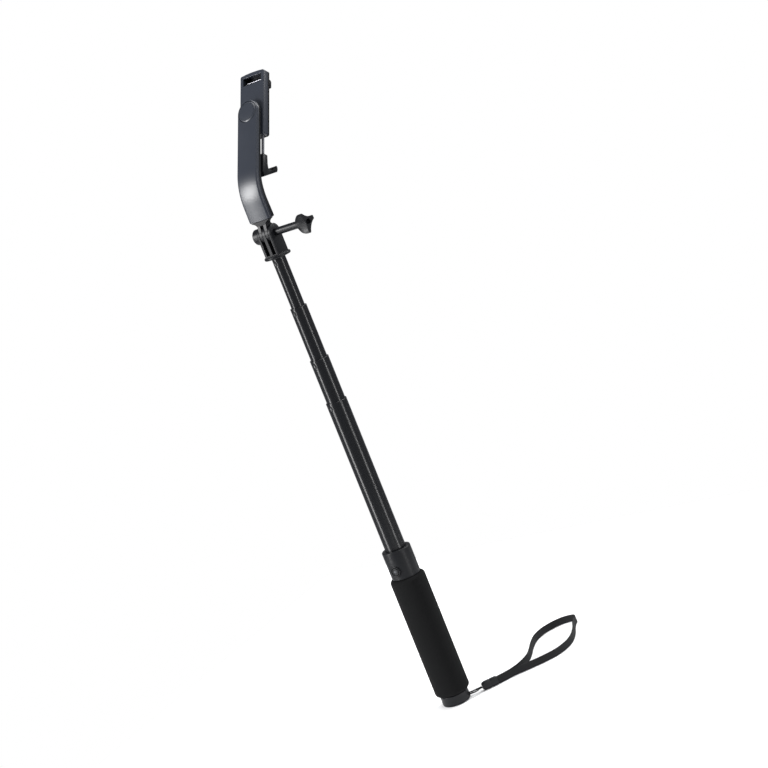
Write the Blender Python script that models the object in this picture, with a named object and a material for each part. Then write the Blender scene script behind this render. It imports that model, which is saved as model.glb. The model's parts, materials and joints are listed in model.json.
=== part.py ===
"""Extendable selfie stick with a spring phone clamp, a folding head and a wrist strap.

Every named size below is in millimetres; meshes are written in metres through MM.
The part stands along +Z. Its origin is the centre of the foam grip on the pole's axis.
The clamp leans back towards +Y, the shutter button faces -Y and the thumbscrew points to +X.
"""

from math import atan2, cos, pi, radians, sin, tan

import bmesh
import bpy
from mathutils import Vector

MM = 0.001
GAP = 0.3            # clearance left between pieces that touch on the real stick
SEGMENTS = 40        # sides of a large round piece
FINE_SEGMENTS = 20   # sides of a small round piece

# Heights along the pole, measured up from the bottom face of the end cap.
GRIP_CENTRE = 64.0
CAP_HEIGHT = 9.3
FOAM_BOTTOM, FOAM_TOP = 9.6, 118.0
CORE_TOP = 121.0
CHAMBER_TOP, SOCKET_BOTTOM = 77.0, 80.0
COLLAR_BOTTOM, COLLAR_TOP = 118.3, 143.1
COLLAR_STEP = 134.0
BUTTON_HEIGHT = 126.5
OUTER_TUBE_BOTTOM, OUTER_TUBE_TOP = 83.3, 277.2
TUBE_TOPS = (315.0, 360.7, 404.1)       # tops of the three sliding tubes as stored
TUBE_BOTTOMS = (129.3, 182.8, 234.3)
FLANGE_BOTTOM, FLANGE_TOP = 404.4, 406.8
HINGE_HEIGHT = 424.4

# Handle.
CAP_RADIUS = 12.3
FOAM_RADIUS, FOAM_BORE = 15.2, 11.3
CORE_RADIUS, CHAMBER_RADIUS, SOCKET_RADIUS = 11.0, 7.3, 9.2
COLLAR_RADIUS = 12.45
CELL_RADIUS, CELL_BOTTOM, CELL_TOP = 7.0, 24.0, 72.8
LANYARD_ANGLE = radians(24.0)
PIN_RADIUS = 0.8

# Telescopic tubes, from the fixed one inwards: outer radii, one wall and one key groove.
TUBE_RADII = (8.9, 8.03, 7.05, 5.8)
TUBE_WALL = 0.5
GROOVE_DEPTH, GROOVE_HALF_WIDTH = 0.35, 1.1
PLUG_DEPTH = 8.0
PLUG_FOOT = 2.5

# Shutter button: everything sits on the -Y side of the collar, round an axis along Y.
BUTTON_RADIUS, BEZEL_BORE, BEZEL_RADIUS = 3.25, 3.55, 4.45

# Folding head: three prongs on a flange, two tongues between them.
FLANGE_RADIUS = 11.2
PRONG_RADIUS = 7.5
MIDDLE_PRONG, SLOT, OUTER_PRONG = 2.9, 3.15, 2.4
STACK_HALF = MIDDLE_PRONG / 2 + SLOT + OUTER_PRONG
BOLT_RADIUS, BOLT_HOLE = 2.0, 2.3
BOSS_RADIUS, BOSS_LENGTH = 6.5, 6.0
SHAFT_RADIUS, KNOB_START, KNOB_END = 3.1, 31.0, 41.0
KNOB_TIP, KNOB_NECK, KNOB_PHASE = 9.3, 4.4, radians(9.0)
KNOB_HOLLOW, KNOB_HOLLOW_CENTRE = 15.7, 20.0     # the arc that hollows each side of the star

# Arm: a short upright lower part, then a longer part that leans back by LEAN.
LEAN = radians(35.5)
ARM_SETBACK = -2.0
ARM_LOWER, ARM_UPPER = 40.7, 66.2
ARM_BEND = 44.0
ARM_HALF_WIDTH = 10.8
ARM_FOOT = 12.6          # height of the wide part's lower end above the hinge
SEAM_TO_PHONE = 11.9    # from the arm's parting line to the phone's back face

# Clamp, in the pivot's own frame: X across, Y through the phone, Z along the jaws' travel.
SLEEVE_HALF, SLEEVE_TOP, SLEEVE_BOTTOM = 12.5, 37.6, -20.4
SLEEVE_FRONT, SLEEVE_BACK = -8.4, -2.4
SLEEVE_WALL = 1.4
WINDOW_HALF, WINDOW_LOW, WINDOW_HIGH = 9.5, 27.8, 34.7
PLATE_FRONT, PLATE_BACK = -2.1, -0.9
HOOK_HALF, HOOK_LOW, HOOK_HIGH = 6.0, 31.6, 35.6
MECHANISM_DEPTH = -4.7   # where rods, springs and the anchor pin lie inside the sleeve
ROD_OFFSET, ROD_RADIUS, ROD_TOP, ROD_FOOT = 8.8, 1.2, 2.3, -43.6
SPRING_RADIUS, SPRING_WIRE, SPRING_TURNS = 1.65, 0.2, 11
ANCHOR_HEIGHT = 30.9
JAW_HALF, RISER_TOP, SHELF = 11.5, -37.4, -49.0

# Wrist strap, lying on the surface that the end cap stands on.
STRAP_WIDTH, STRAP_THICKNESS = 6.5, 1.2
CORD_RADIUS, CORD_HEIGHT = 0.6, 3.4
PIN_DISTANCE, CORD_TURN = 10.5, 2.0      # lanyard pin from the axis; the cord's turn round it
CRIMP_START, CRIMP_END = Vector((19.6, 13.8)), Vector((29.6, 24.0))
CRIMP_HEIGHT, CRIMP_THICKNESS = 7.2, 4.8
STRAP_ROUTE = (
    (29.13, 24.88), (33.6, 31.0), (37.6, 38.0), (40.0, 47.0), (40.5, 57.6), (39.4, 66.0),
    (36.2, 75.5), (31.4, 87.5), (27.4, 99.5), (25.8, 110.0), (27.2, 120.0), (31.6, 129.0),
    (38.2, 135.6), (45.0, 138.3), (50.2, 138.2), (53.2, 135.2), (55.0, 129.2), (58.8, 120.0),
    (64.5, 108.5), (69.0, 97.0), (71.4, 87.0), (71.5, 77.0), (68.3, 65.0), (60.0, 54.0),
    (50.1, 44.6), (43.6, 39.2), (39.2, 35.2), (35.3, 29.5), (30.49, 23.55),
)


# ---------------------------------------------------------------- scene helpers

for old in list(bpy.data.objects):
    bpy.data.objects.remove(old)


def material(name, colour, roughness, metallic=0.0):
    made = bpy.data.materials.new(name)
    made.use_nodes = True
    shader = made.node_tree.nodes["Principled BSDF"]
    shader.inputs["Base Color"].default_value = (*colour, 1.0)
    shader.inputs["Roughness"].default_value = roughness
    shader.inputs["Metallic"].default_value = metallic
    return made


ANODISED = (0.016, 0.017, 0.019)
BLACK_PLASTIC = (0.022, 0.023, 0.026)
SLATE_PLASTIC = (0.045, 0.051, 0.062)
RUBBER_BLACK = (0.012, 0.012, 0.013)
STEEL = (0.56, 0.56, 0.58)


def frame(name, location, lean=0.0, parent=None):
    """An empty that carries one moving body, its origin on the body's joint axis."""
    made = bpy.data.objects.new(name, None)
    made.empty_display_size = 0.01
    made.location = Vector(location) * MM
    made.rotation_euler = (-lean, 0.0, 0.0)
    made.parent = parent
    bpy.context.scene.collection.objects.link(made)
    return made


def link(name, data, parent, look=None):
    made = bpy.data.objects.new(name, data)
    made.parent = parent
    if look is not None:
        data.materials.append(material(name + "_look", *look))
    bpy.context.scene.collection.objects.link(made)
    return made


def body(name, rings, parent, look=None, looped=False, soft=True):
    """A closed skin over rings of points; looped joins the last ring to the first."""
    mesh = bmesh.new()
    rows = [[mesh.verts.new(Vector(p) * MM) for p in ring] for ring in rings]
    count = len(rings[0])
    pairs = list(zip(rows, rows[1:]))
    if looped:
        pairs.append((rows[-1], rows[0]))
    for low, high in pairs:
        for i in range(count):
            j = (i + 1) % count
            mesh.faces.new((low[i], low[j], high[j], high[i]))
    if not looped:
        mesh.faces.new(rows[0])
        mesh.faces.new(rows[-1])
    bmesh.ops.recalc_face_normals(mesh, faces=mesh.faces)
    data = bpy.data.meshes.new(name)
    mesh.to_mesh(data)
    mesh.free()
    if soft:
        data.shade_smooth()
        data.set_sharp_from_angle(angle=radians(32))
    return link(name, data, parent, look)


def circle(radius, height, count=SEGMENTS, centre=(0.0, 0.0)):
    turn = 2 * pi / count
    return [
        (centre[0] + radius * cos(turn * i), centre[1] + radius * sin(turn * i), height)
        for i in range(count)
    ]


def turned(name, profile, parent, look=None, looped=False, count=SEGMENTS, centre=(0.0, 0.0)):
    """A turned piece: profile is (radius, height) pairs, closed on itself when looped."""
    rings = [circle(radius, height, count, centre) for radius, height in profile]
    return body(name, rings, parent, look, looped)


def along(axis, points):
    """Turns points made along Z so that their Z runs along another axis."""
    swaps = {"X": lambda p: (p[2], p[0], p[1]), "Y": lambda p: (p[1], p[2], p[0])}
    return [swaps[axis](p) for p in points]


def spindle(name, axis, profile, parent, look=None, looped=False, count=FINE_SEGMENTS, centre=(0, 0)):
    """A turned piece whose axis is X or Y, at a centre given in the other two axes."""
    rings = [along(axis, circle(radius, height, count, centre)) for radius, height in profile]
    return body(name, rings, parent, look, looped)


def box(name, low, high, parent, look=None, round_edges=0.0):
    corners = ((low[0], low[1]), (high[0], low[1]), (high[0], high[1]), (low[0], high[1]))
    rings = [[(x, y, z) for x, y in corners] for z in (low[2], high[2])]
    made = body(name, rings, parent, look, soft=False)
    if round_edges:
        bevel(made, round_edges)
    return made


def side_prism(name, outline, half, parent, look=None, round_edges=0.0):
    """An outline of (y, z) points extruded across X, from -half to +half or low to high."""
    low, high = half if isinstance(half, tuple) else (-half, half)
    rings = [[(x, y, z) for y, z in outline] for x in (low, high)]
    made = body(name, rings, parent, look, soft=False)
    if round_edges:
        bevel(made, round_edges)
    return made


def both_sides(offset):
    return ((-offset, "left"), (offset, "right"))


def bevel(target, width, steps=2):
    edge = target.modifiers.new("edge", "BEVEL")
    edge.width = width * MM
    edge.segments = steps
    edge.limit_method = "ANGLE"
    edge.angle_limit = radians(40)


def combine(target, operation, tools):
    for tool in tools:
        tool.hide_render = True
        tool.display_type = "WIRE"
        step = target.modifiers.new(operation.lower(), "BOOLEAN")
        step.operation = operation
        step.solver = "EXACT"
        step.object = tool


def cut(target, *tools):
    combine(target, "DIFFERENCE", tools)


def weld(target, *tools):
    combine(target, "UNION", tools)


def arc(centre, radius, start, end, steps):
    """Points on an arc, both ends included, angles in degrees."""
    return [
        (
            centre[0] + radius * cos(radians(start + (end - start) * i / steps)),
            centre[1] + radius * sin(radians(start + (end - start) * i / steps)),
        )
        for i in range(steps + 1)
    ]


def smooth_route(points, step):
    """Evenly spaced points on a Catmull-Rom curve through the given ones."""
    points = [Vector(p) for p in points]
    padded = [2 * points[0] - points[1], *points, 2 * points[-1] - points[-2]]
    dense = []
    for a, b, c, d in zip(padded, padded[1:], padded[2:], padded[3:]):
        for i in range(12):
            t = i / 12
            dense.append(
                0.5 * (2 * b + (c - a) * t + (2 * a - 5 * b + 4 * c - d) * t * t
                       + (3 * b - a - 3 * c + d) * t ** 3)
            )
    dense.append(points[-1])
    lengths = [0.0]
    for a, b in zip(dense, dense[1:]):
        lengths.append(lengths[-1] + (b - a).length)
    count = max(2, round(lengths[-1] / step))
    even, at = [], 0
    for i in range(count + 1):
        goal = lengths[-1] * i / count
        while at < len(dense) - 2 and lengths[at + 1] < goal:
            at += 1
        part = (goal - lengths[at]) / (lengths[at + 1] - lengths[at])
        even.append(dense[at].lerp(dense[at + 1], part))
    return even


def wire(name, points, radius, parent, look, sides=2):
    """A round wire or cord along points, as a bevelled curve with closed ends."""
    data = bpy.data.curves.new(name, "CURVE")
    data.dimensions = "3D"
    data.bevel_depth = radius * MM
    data.bevel_resolution = sides
    data.use_fill_caps = True
    spline = data.splines.new("POLY")
    spline.points.add(len(points) - 1)
    for slot, point in zip(spline.points, points):
        slot.co = (*(Vector(point) * MM), 1.0)
    return link(name, data, parent, look)


# ---------------------------------------------------------------- frames of the moving bodies

handle_frame = frame("handle_frame", (0, 0, -GRIP_CENTRE))
button_frame = frame("button_frame", (0, -COLLAR_RADIUS, BUTTON_HEIGHT), parent=handle_frame)
tube_frames = [
    frame(f"tube_{i + 2}_frame", (0, 0, bottom), parent=handle_frame)
    for i, bottom in enumerate(TUBE_BOTTOMS)
]
head_frame = frame("head_frame", (0, 0, HINGE_HEIGHT), parent=handle_frame)
knob_frame = frame("knob_frame", (0, 0, HINGE_HEIGHT), parent=handle_frame)
arm_body = frame("arm_body_frame", (0, 0, HINGE_HEIGHT), parent=handle_frame)

PIVOT_ON_SEAM = (ARM_SETBACK + ARM_UPPER * sin(LEAN), ARM_LOWER + ARM_UPPER * cos(LEAN))
PIVOT = (
    0.0,
    PIVOT_ON_SEAM[0] + SEAM_TO_PHONE * cos(LEAN),
    PIVOT_ON_SEAM[1] - SEAM_TO_PHONE * sin(LEAN),
)
pivot_frame = frame("pivot_frame", PIVOT, LEAN, arm_body)
clamp_frame = frame("clamp_frame", PIVOT, LEAN, arm_body)
jaw_frame = frame("jaw_frame", PIVOT, LEAN, arm_body)


# ---------------------------------------------------------------- handle

def rounded_tube_profile(outer, bore, low, high, edge):
    """A sleeve's closed profile, its outer edges rounded."""
    top = [(outer - edge + edge * cos(radians(a)), high - edge + edge * sin(radians(a)))
           for a in (0, 30, 60, 90)]
    bottom = [(outer - edge + edge * cos(radians(a)), low + edge + edge * sin(radians(a)))
              for a in (-90, -60, -30, 0)]
    return [(bore, low), *bottom, *top, (bore, high)]


def build_end_cap():
    edge = 1.5
    rim = [(CAP_RADIUS - edge + edge * sin(radians(a)), edge - edge * cos(radians(a)))
           for a in (0, 30, 60, 90)]
    spigot = CHAMBER_RADIUS - GAP
    cap = turned(
        "end_cap",
        [*rim, (CAP_RADIUS, CAP_HEIGHT - 0.6), (CAP_RADIUS - 0.6, CAP_HEIGHT),
         (spigot, CAP_HEIGHT), (spigot, 19.4), (spigot - 0.6, 20.0)],
        handle_frame, (BLACK_PLASTIC, 0.42),
    )
    notch = box("cutter_lanyard_notch", (7.4, -3.1, 1.8), (14.0, 3.1, 5.0), handle_frame)
    notch.rotation_euler = (0, 0, LANYARD_ANGLE)
    place = (PIN_DISTANCE * cos(LANYARD_ANGLE), PIN_DISTANCE * sin(LANYARD_ANGLE))
    hole = turned("cutter_pin_hole", [(PIN_RADIUS + GAP, 0.8), (PIN_RADIUS + GAP, 7.0)],
                  handle_frame, count=12, centre=place)
    cut(cap, notch, hole)
    turned("lanyard_pin", [(PIN_RADIUS, 1.1), (PIN_RADIUS, 6.7)],
           handle_frame, (STEEL, 0.3, 1.0), count=12, centre=place)


def build_grip():
    turned("foam_grip", rounded_tube_profile(FOAM_RADIUS, FOAM_BORE, FOAM_BOTTOM, FOAM_TOP, 3.2),
           handle_frame, (RUBBER_BLACK, 0.95), looped=True)
    core = turned(
        "handle_core",
        [(CORE_RADIUS, FOAM_BOTTOM), (CORE_RADIUS, CORE_TOP), (SOCKET_RADIUS, CORE_TOP),
         (SOCKET_RADIUS, SOCKET_BOTTOM), (3.0, SOCKET_BOTTOM), (3.0, CHAMBER_TOP),
         (CHAMBER_RADIUS, CHAMBER_TOP), (CHAMBER_RADIUS, FOAM_BOTTOM)],
        handle_frame, (BLACK_PLASTIC, 0.5), looped=True,
    )
    groove = box("cutter_lead_groove", (-1.8, -12.0, 70.0), (1.8, -10.1, 122.0), handle_frame)
    slot = box("cutter_lead_slot", (-1.8, -12.0, 70.0), (1.8, -6.5, 73.0), handle_frame)
    cut(core, groove, slot)
    lead = [(-7.4, 71.0), (-7.4, 71.3), (-10.4, 71.3), (-10.4, 123.2),
            (-10.65, 123.2), (-10.65, 71.0)]
    side_prism("flex_lead", lead, 1.3, handle_frame, ((0.30, 0.14, 0.03), 0.5))


def build_collar():
    edge = 1.0
    top = [(COLLAR_RADIUS - edge + edge * cos(radians(a)), COLLAR_TOP - edge + edge * sin(radians(a)))
           for a in (0, 30, 60, 90)]
    collar = turned(
        "collar",
        [(CORE_RADIUS + GAP, COLLAR_BOTTOM), (COLLAR_RADIUS - 0.4, COLLAR_BOTTOM),
         (COLLAR_RADIUS, COLLAR_BOTTOM + 0.4), *top, (SOCKET_RADIUS, COLLAR_TOP),
         (SOCKET_RADIUS, COLLAR_STEP), (CORE_RADIUS + GAP, COLLAR_STEP)],
        handle_frame, (BLACK_PLASTIC, 0.4), looped=True,
    )
    hole = spindle("cutter_button_hole", "Y",
                   [(BEZEL_RADIUS + GAP, -4.0), (BEZEL_RADIUS + GAP, 3.0)], button_frame, count=28)
    cut(collar, hole)


def build_shutter():
    """Button, bezel, dome switch and board, outermost first; Y is measured from the collar's skin."""
    spindle("button_bezel", "Y",
            [(BEZEL_BORE, -0.4), (BEZEL_BORE + 0.2, -0.6), (BEZEL_RADIUS - 0.3, -0.6),
             (BEZEL_RADIUS, -0.3), (BEZEL_RADIUS, 1.5), (BEZEL_BORE, 1.5)],
            button_frame, (BLACK_PLASTIC, 0.3), looped=True, count=28)
    spindle("shutter_button", "Y",
            [(1.5, -0.8), (BUTTON_RADIUS - 0.5, -0.7), (BUTTON_RADIUS, -0.4), (BUTTON_RADIUS, 1.25)],
            button_frame, ((0.03, 0.031, 0.034), 0.35), count=28)
    spindle("dome_switch", "Y", [(1.4, 1.85), (2.1, 2.1), (2.1, 2.25)],
            button_frame, (STEEL, 0.25, 1.0), count=16)
    box("circuit_board", (-4.0, 2.55, -4.9), (4.0, 3.15, 6.9), button_frame,
        ((0.01, 0.12, 0.05), 0.45))


def build_power():
    turned("battery_cell",
           [(CELL_RADIUS - 0.5, CELL_BOTTOM), (CELL_RADIUS, CELL_BOTTOM + 0.5),
            (CELL_RADIUS, CELL_TOP - 0.5), (CELL_RADIUS - 0.5, CELL_TOP), (2.5, CELL_TOP),
            (2.5, CELL_TOP + 1.2)],
           handle_frame, ((0.05, 0.16, 0.35), 0.4), count=28)
    turns, low, high = 3.5, 20.7, 23.4
    steps = int(turns * 12)
    coil = []
    for i in range(steps + 1):
        part = i / steps
        radius = 5.6 - 2.4 * part
        angle = 2 * pi * turns * part
        coil.append((radius * cos(angle), radius * sin(angle), low + (high - low) * part))
    wire("battery_spring", coil, 0.3, handle_frame, (STEEL, 0.3, 1.0), sides=0)


# ---------------------------------------------------------------- telescopic tubes

def keyed_ring(radius, height):
    """A circle with the shallow key groove on its +X side, the same depth on every tube."""
    points = []
    plain = 36
    edge = GROOVE_HALF_WIDTH / radius
    angles = [edge + (2 * pi - 2 * edge) * i / plain for i in range(plain + 1)]
    angles += [-edge * 0.55, 0.0, edge * 0.55]
    for angle in angles:
        offset = atan2(sin(angle), cos(angle)) / edge
        depth = GROOVE_DEPTH * (0.5 + 0.5 * cos(pi * offset)) if abs(offset) < 1 else 0.0
        points.append(((radius - depth) * cos(angle), (radius - depth) * sin(angle), height))
    return points


def tube(name, radius, length, parent, lip_bore):
    """A thin tube whose mouth is rolled in to lip_bore."""
    bore = radius - TUBE_WALL
    profile = [(radius, 0.0), (radius, length - 0.5), (radius - 0.25, length),
               (lip_bore + 0.05, length), (lip_bore, length - 0.3), (lip_bore, length - 1.2),
               (bore, length - 1.8), (bore, 0.0)]
    rings = [keyed_ring(r, z) for r, z in profile]
    return body(name, rings, parent, (ANODISED, 0.32, 0.85), looped=True)


def end_plug(name, tube_radius, guide_radius, parent):
    """The foot of a tube: a stub inside it and a wider pad that runs in the next tube out."""
    inside = tube_radius - TUBE_WALL - GAP
    pad = guide_radius - TUBE_WALL - GAP
    profile = [(1.6, -PLUG_FOOT), (pad - 0.3, -PLUG_FOOT), (pad, -PLUG_FOOT + 0.3), (pad, -GAP),
               (inside, -GAP), (inside, PLUG_DEPTH), (1.6, PLUG_DEPTH)]
    rings = [keyed_ring(r, z) for r, z in profile]
    return body(name, rings, parent, ((0.75, 0.75, 0.73), 0.5), looped=True)


def build_tubes():
    base = frame("outer_tube_base", (0, 0, OUTER_TUBE_BOTTOM), parent=handle_frame)
    tube("outer_tube", TUBE_RADII[0], OUTER_TUBE_TOP - OUTER_TUBE_BOTTOM, base,
         TUBE_RADII[1] + GAP)
    end_plug("tube_base_plug", TUBE_RADII[0], TUBE_RADII[0] + TUBE_WALL - 0.1, base)
    for i, (top, bottom) in enumerate(zip(TUBE_TOPS, TUBE_BOTTOMS)):
        radius = TUBE_RADII[i + 1]
        inner = TUBE_RADII[i + 2] + GAP if i < 2 else radius - TUBE_WALL - 0.02
        tube(f"sliding_tube_{i + 2}", radius, top - bottom, tube_frames[i], inner)
        end_plug(f"end_plug_{i + 2}", radius, TUBE_RADII[i], tube_frames[i])


# ---------------------------------------------------------------- folding head

def build_head_mount():
    drop = HINGE_HEIGHT - FLANGE_TOP
    spigot = TUBE_RADII[3] - TUBE_WALL - GROOVE_DEPTH - GAP
    thick = FLANGE_TOP - FLANGE_BOTTOM
    mount = turned(
        "head_mount",
        [(spigot - 0.5, -drop - thick - 15.0), (spigot, -drop - thick - 14.5),
         (spigot, -drop - thick), (FLANGE_RADIUS - 0.5, -drop - thick),
         (FLANGE_RADIUS, -drop - thick + 0.5), (FLANGE_RADIUS, -drop - 0.5),
         (FLANGE_RADIUS - 0.5, -drop)],
        head_frame, (BLACK_PLASTIC, 0.35),
    )
    foot = -drop - 1.0
    outline = [(-PRONG_RADIUS, foot), (PRONG_RADIUS, foot),
               *arc((0, 0), PRONG_RADIUS, 0, 180, 14)]
    block = side_prism("join_prongs", outline, STACK_HALF, head_frame, round_edges=0.4)
    boss = spindle("join_nut_boss", "X",
                   [(BOSS_RADIUS - 1.0, -STACK_HALF - BOSS_LENGTH),
                    (BOSS_RADIUS, -STACK_HALF - BOSS_LENGTH + 1.0), (BOSS_RADIUS, -STACK_HALF + 1.0)],
                   head_frame, count=28)
    weld(mount, block, boss)
    slots = []
    for side in (-1, 1):
        inner = MIDDLE_PRONG / 2
        edges = sorted((side * inner, side * (inner + SLOT)))
        slots.append(box(f"cutter_slot_{'left' if side < 0 else 'right'}",
                         (edges[0], -9.0, -drop + 1.2), (edges[1], 9.0, 9.0), head_frame))
    bore = spindle("cutter_hinge_bore", "X", [(BOLT_HOLE, -15.0), (BOLT_HOLE, 15.0)], head_frame)
    seat = spindle("cutter_nut_seat", "X", [(4.05 + GAP, -15.0), (4.05 + GAP, -9.1)],
                   head_frame, count=6)
    cut(mount, *slots, bore, seat)
    spindle("captive_nut", "X", [(2.6, -12.4), (4.05, -12.4), (4.05, -9.4), (2.6, -9.4)],
            head_frame, (STEEL, 0.3, 1.0), looped=True, count=6)


def knob_ring(flare, place):
    """The three-cornered star's outline across X; flare 0 is the round neck and 1 the full star."""
    count = 72
    points = []
    for i in range(count):
        angle = 2 * pi * i / count
        offset = (angle - KNOB_PHASE) % (2 * pi / 3) - pi / 3
        across = KNOB_HOLLOW_CENTRE * sin(offset)
        star = KNOB_TIP
        if abs(across) < KNOB_HOLLOW:
            side = KNOB_HOLLOW_CENTRE * cos(offset) - (KNOB_HOLLOW ** 2 - across ** 2) ** 0.5
            star = min(side, KNOB_TIP)
        radius = KNOB_NECK + flare * (star - KNOB_NECK)
        points.append((place, radius * cos(angle), radius * sin(angle)))
    return points


def build_thumbscrew():
    spindle("thumbscrew_bolt", "X",
            [(BOLT_RADIUS - 0.4, -12.9), (BOLT_RADIUS, -12.5), (BOLT_RADIUS, 21.7)],
            knob_frame, (STEEL, 0.28, 1.0))
    star = [(0.0, KNOB_START), (0.45, KNOB_START + 1.6), (0.85, KNOB_START + 4.0),
            (1.0, KNOB_START + 6.5), (1.0, KNOB_END - 0.5), (0.93, KNOB_END)]
    knob = body("thumbscrew_knob", [knob_ring(s, x) for s, x in star], knob_frame,
                (BLACK_PLASTIC, 0.45))
    shaft = spindle("join_knob_shaft", "X",
                    [(SHAFT_RADIUS - 0.3, STACK_HALF + GAP), (SHAFT_RADIUS, STACK_HALF + GAP + 0.3),
                     (SHAFT_RADIUS, KNOB_START + 1.5)],
                    knob_frame, count=24)
    weld(knob, shaft)
    bore = spindle("cutter_knob_bore", "X", [(BOLT_HOLE, 0.0), (BOLT_HOLE, 22.0)], knob_frame)
    recess = spindle("cutter_knob_recess", "X", [(2.4, KNOB_END - 3.0), (2.6, KNOB_END + 1.0)],
                     knob_frame, count=6)
    cut(knob, bore, recess)


# ---------------------------------------------------------------- arm

def arm_stations():
    """Stations down the parting line: centre (y, z), lean, half width and blend 0 top to 1 foot."""
    up = (sin(LEAN), cos(LEAN))
    reach = ARM_BEND * tan(LEAN / 2)
    stations = []
    for degrees in (8, 24, 42, 60, 76, 90):
        along_up = ARM_HALF_WIDTH * cos(radians(degrees))
        centre = (PIVOT_ON_SEAM[0] + along_up * up[0], PIVOT_ON_SEAM[1] + along_up * up[1])
        stations.append((centre, LEAN, ARM_HALF_WIDTH * sin(radians(degrees)), 0.0))
    straight = ARM_UPPER - reach
    for part in (0.33, 0.66):
        centre = (PIVOT_ON_SEAM[0] - straight * part * up[0],
                  PIVOT_ON_SEAM[1] - straight * part * up[1])
        stations.append((centre, LEAN, ARM_HALF_WIDTH, 0.25 * part))
    hub = (ARM_SETBACK + ARM_BEND, ARM_LOWER - reach)
    steps = 7
    for i in range(steps + 1):
        lean = LEAN * (1 - i / steps)
        centre = (hub[0] - ARM_BEND * cos(lean), hub[1] + ARM_BEND * sin(lean))
        stations.append((centre, lean, ARM_HALF_WIDTH, 0.25 + 0.6 * i / steps))
    stations.append(((ARM_SETBACK, ARM_FOOT + 0.8), 0.0, ARM_HALF_WIDTH, 1.0))
    stations.append(((ARM_SETBACK, ARM_FOOT), 0.0, ARM_HALF_WIDTH - 0.7, 1.0))
    return stations


def arm_shell(name, parent, look, front):
    """One half of the arm: the crowned front cover or the flatter back frame."""
    rings = []
    sign = -1.0 if front else 1.0
    for (y, z), lean, half, blend in arm_stations():
        depth = 2.4 + 1.15 * blend if front else 2.5 + 1.7 * blend
        crown = 0.4 * half / ARM_HALF_WIDTH if front else 0.0
        corner = min(1.7 if front else 0.9, 0.42 * half)
        section = [(-half, GAP / 2), (-half, depth - corner),
                   (-half + 0.3 * corner, depth - 0.3 * corner), (-half + corner, depth),
                   (-0.5 * half, depth + 0.8 * crown), (0.0, depth + crown)]
        section += [(-x, d) for x, d in reversed(section[:-1])]
        out = (cos(lean), -sin(lean))
        rings.append([(x, y + sign * d * out[0], z + sign * d * out[1]) for x, d in section])
    return body(name, rings, parent, look)


def build_arm():
    frame_piece = arm_shell("arm_frame", arm_body, (BLACK_PLASTIC, 0.4), front=False)
    cover = arm_shell("arm_cover", arm_body, (SLATE_PLASTIC, 0.33), front=True)
    back, front = 2.0, -5.4
    neck = []
    for height, half in ((8.7, 4.5), (9.8, 5.0), (11.0, 6.5), (12.2, 9.2)):
        rim = [(-half, front), (half, front), (half, back), (-half, back)]
        neck.append([(x, y, height) for x, y in rim])
    neck_block = body("join_neck", neck, arm_body, soft=False)
    stub = box("join_neck_root", (-8.0, ARM_SETBACK + GAP, 11.5),
               (8.0, back - 0.4, ARM_FOOT + 2.0), arm_body)
    tongues = []
    for side in (-1, 1):
        inner = MIDDLE_PRONG / 2 + GAP
        edges = sorted((side * inner, side * (inner + SLOT - 2 * GAP)))
        outline = [(back - 0.3, 9.6), (-5.2, 9.6),
                   *arc((0, 0), PRONG_RADIUS - 0.1, 150, 380, 16)]
        tongues.append(side_prism(f"join_tongue_{'left' if side < 0 else 'right'}", outline,
                                  tuple(edges), arm_body))
    weld(frame_piece, stub, neck_block, *tongues)
    bore = spindle("cutter_tongue_bore", "X", [(BOLT_HOLE, -6.0), (BOLT_HOLE, 6.0)],
                   arm_body)
    shank = spindle("cutter_pivot_shank", "Y", [(2.3, -13.4), (2.3, -8.0)], pivot_frame)
    head = spindle("cutter_pivot_head", "Y", [(3.9, -13.4), (3.9, -10.6)], pivot_frame)
    screws = [(-24.0, "upper"), (-45.0, "lower")]
    heads = [spindle(f"cutter_screw_head_{word}", "Y", [(2.3, -10.7), (2.3, -8.5)], pivot_frame,
                     count=16, centre=(z, 0)) for z, word in screws]
    shanks = [spindle(f"cutter_screw_shank_{word}", "Y", [(1.3, -13.5), (1.3, -9.0)], pivot_frame,
                      count=12, centre=(z, 0)) for z, word in screws]
    cut(frame_piece, bore, shank, head, *heads, *shanks)
    pocket = spindle("cutter_cap_pocket", "Y", [(9.3, -18.0), (9.3, -13.0)], pivot_frame, count=36)
    cut(cover, pocket, head, *shanks)
    spindle("pivot_cap", "Y",
            [(4.0, -15.2), (6.6, -15.05), (8.3, -14.8), (9.0, -14.2), (9.0, -13.3)],
            pivot_frame, (SLATE_PLASTIC, 0.3), count=36)
    spindle("pivot_screw", "Y", [(3.1, -12.9), (3.5, -12.6), (3.5, -10.9), (2.0, -10.9),
                                 (2.0, -4.4)], pivot_frame, (STEEL, 0.3, 1.0))
    spindle("pivot_washer", "Y", [(2.3, -9.1), (7.0, -9.1), (7.0, -8.7), (2.3, -8.7)],
            pivot_frame, ((0.6, 0.6, 0.58), 0.5), looped=True, count=28)
    for height, word in screws:
        spindle(f"arm_screw_{word}", "Y", [(2.0, -9.6), (2.0, -10.4), (1.0, -10.4), (1.0, -13.2)],
                pivot_frame, (STEEL, 0.35, 1.0), count=12, centre=(height, 0))


# ---------------------------------------------------------------- clamp

def rounded_rectangle(half, low, high, corner, rise=0.0):
    """An (x, z) outline with round corners; its top edge arches up by rise."""
    points = []
    for (cx, cz), start in (((half - corner, low + corner), -90), ((half - corner, high - corner), 0)):
        points += arc((cx, cz), corner, start, start + 90, 3)
    points += [(half * t, high + rise * (1 - t * t)) for t in (0.5, 0.0, -0.5)]
    for (cx, cz), start in (((corner - half, high - corner), 90), ((corner - half, low + corner), 180)):
        points += arc((cx, cz), corner, start, start + 90, 3)
    return points


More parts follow.
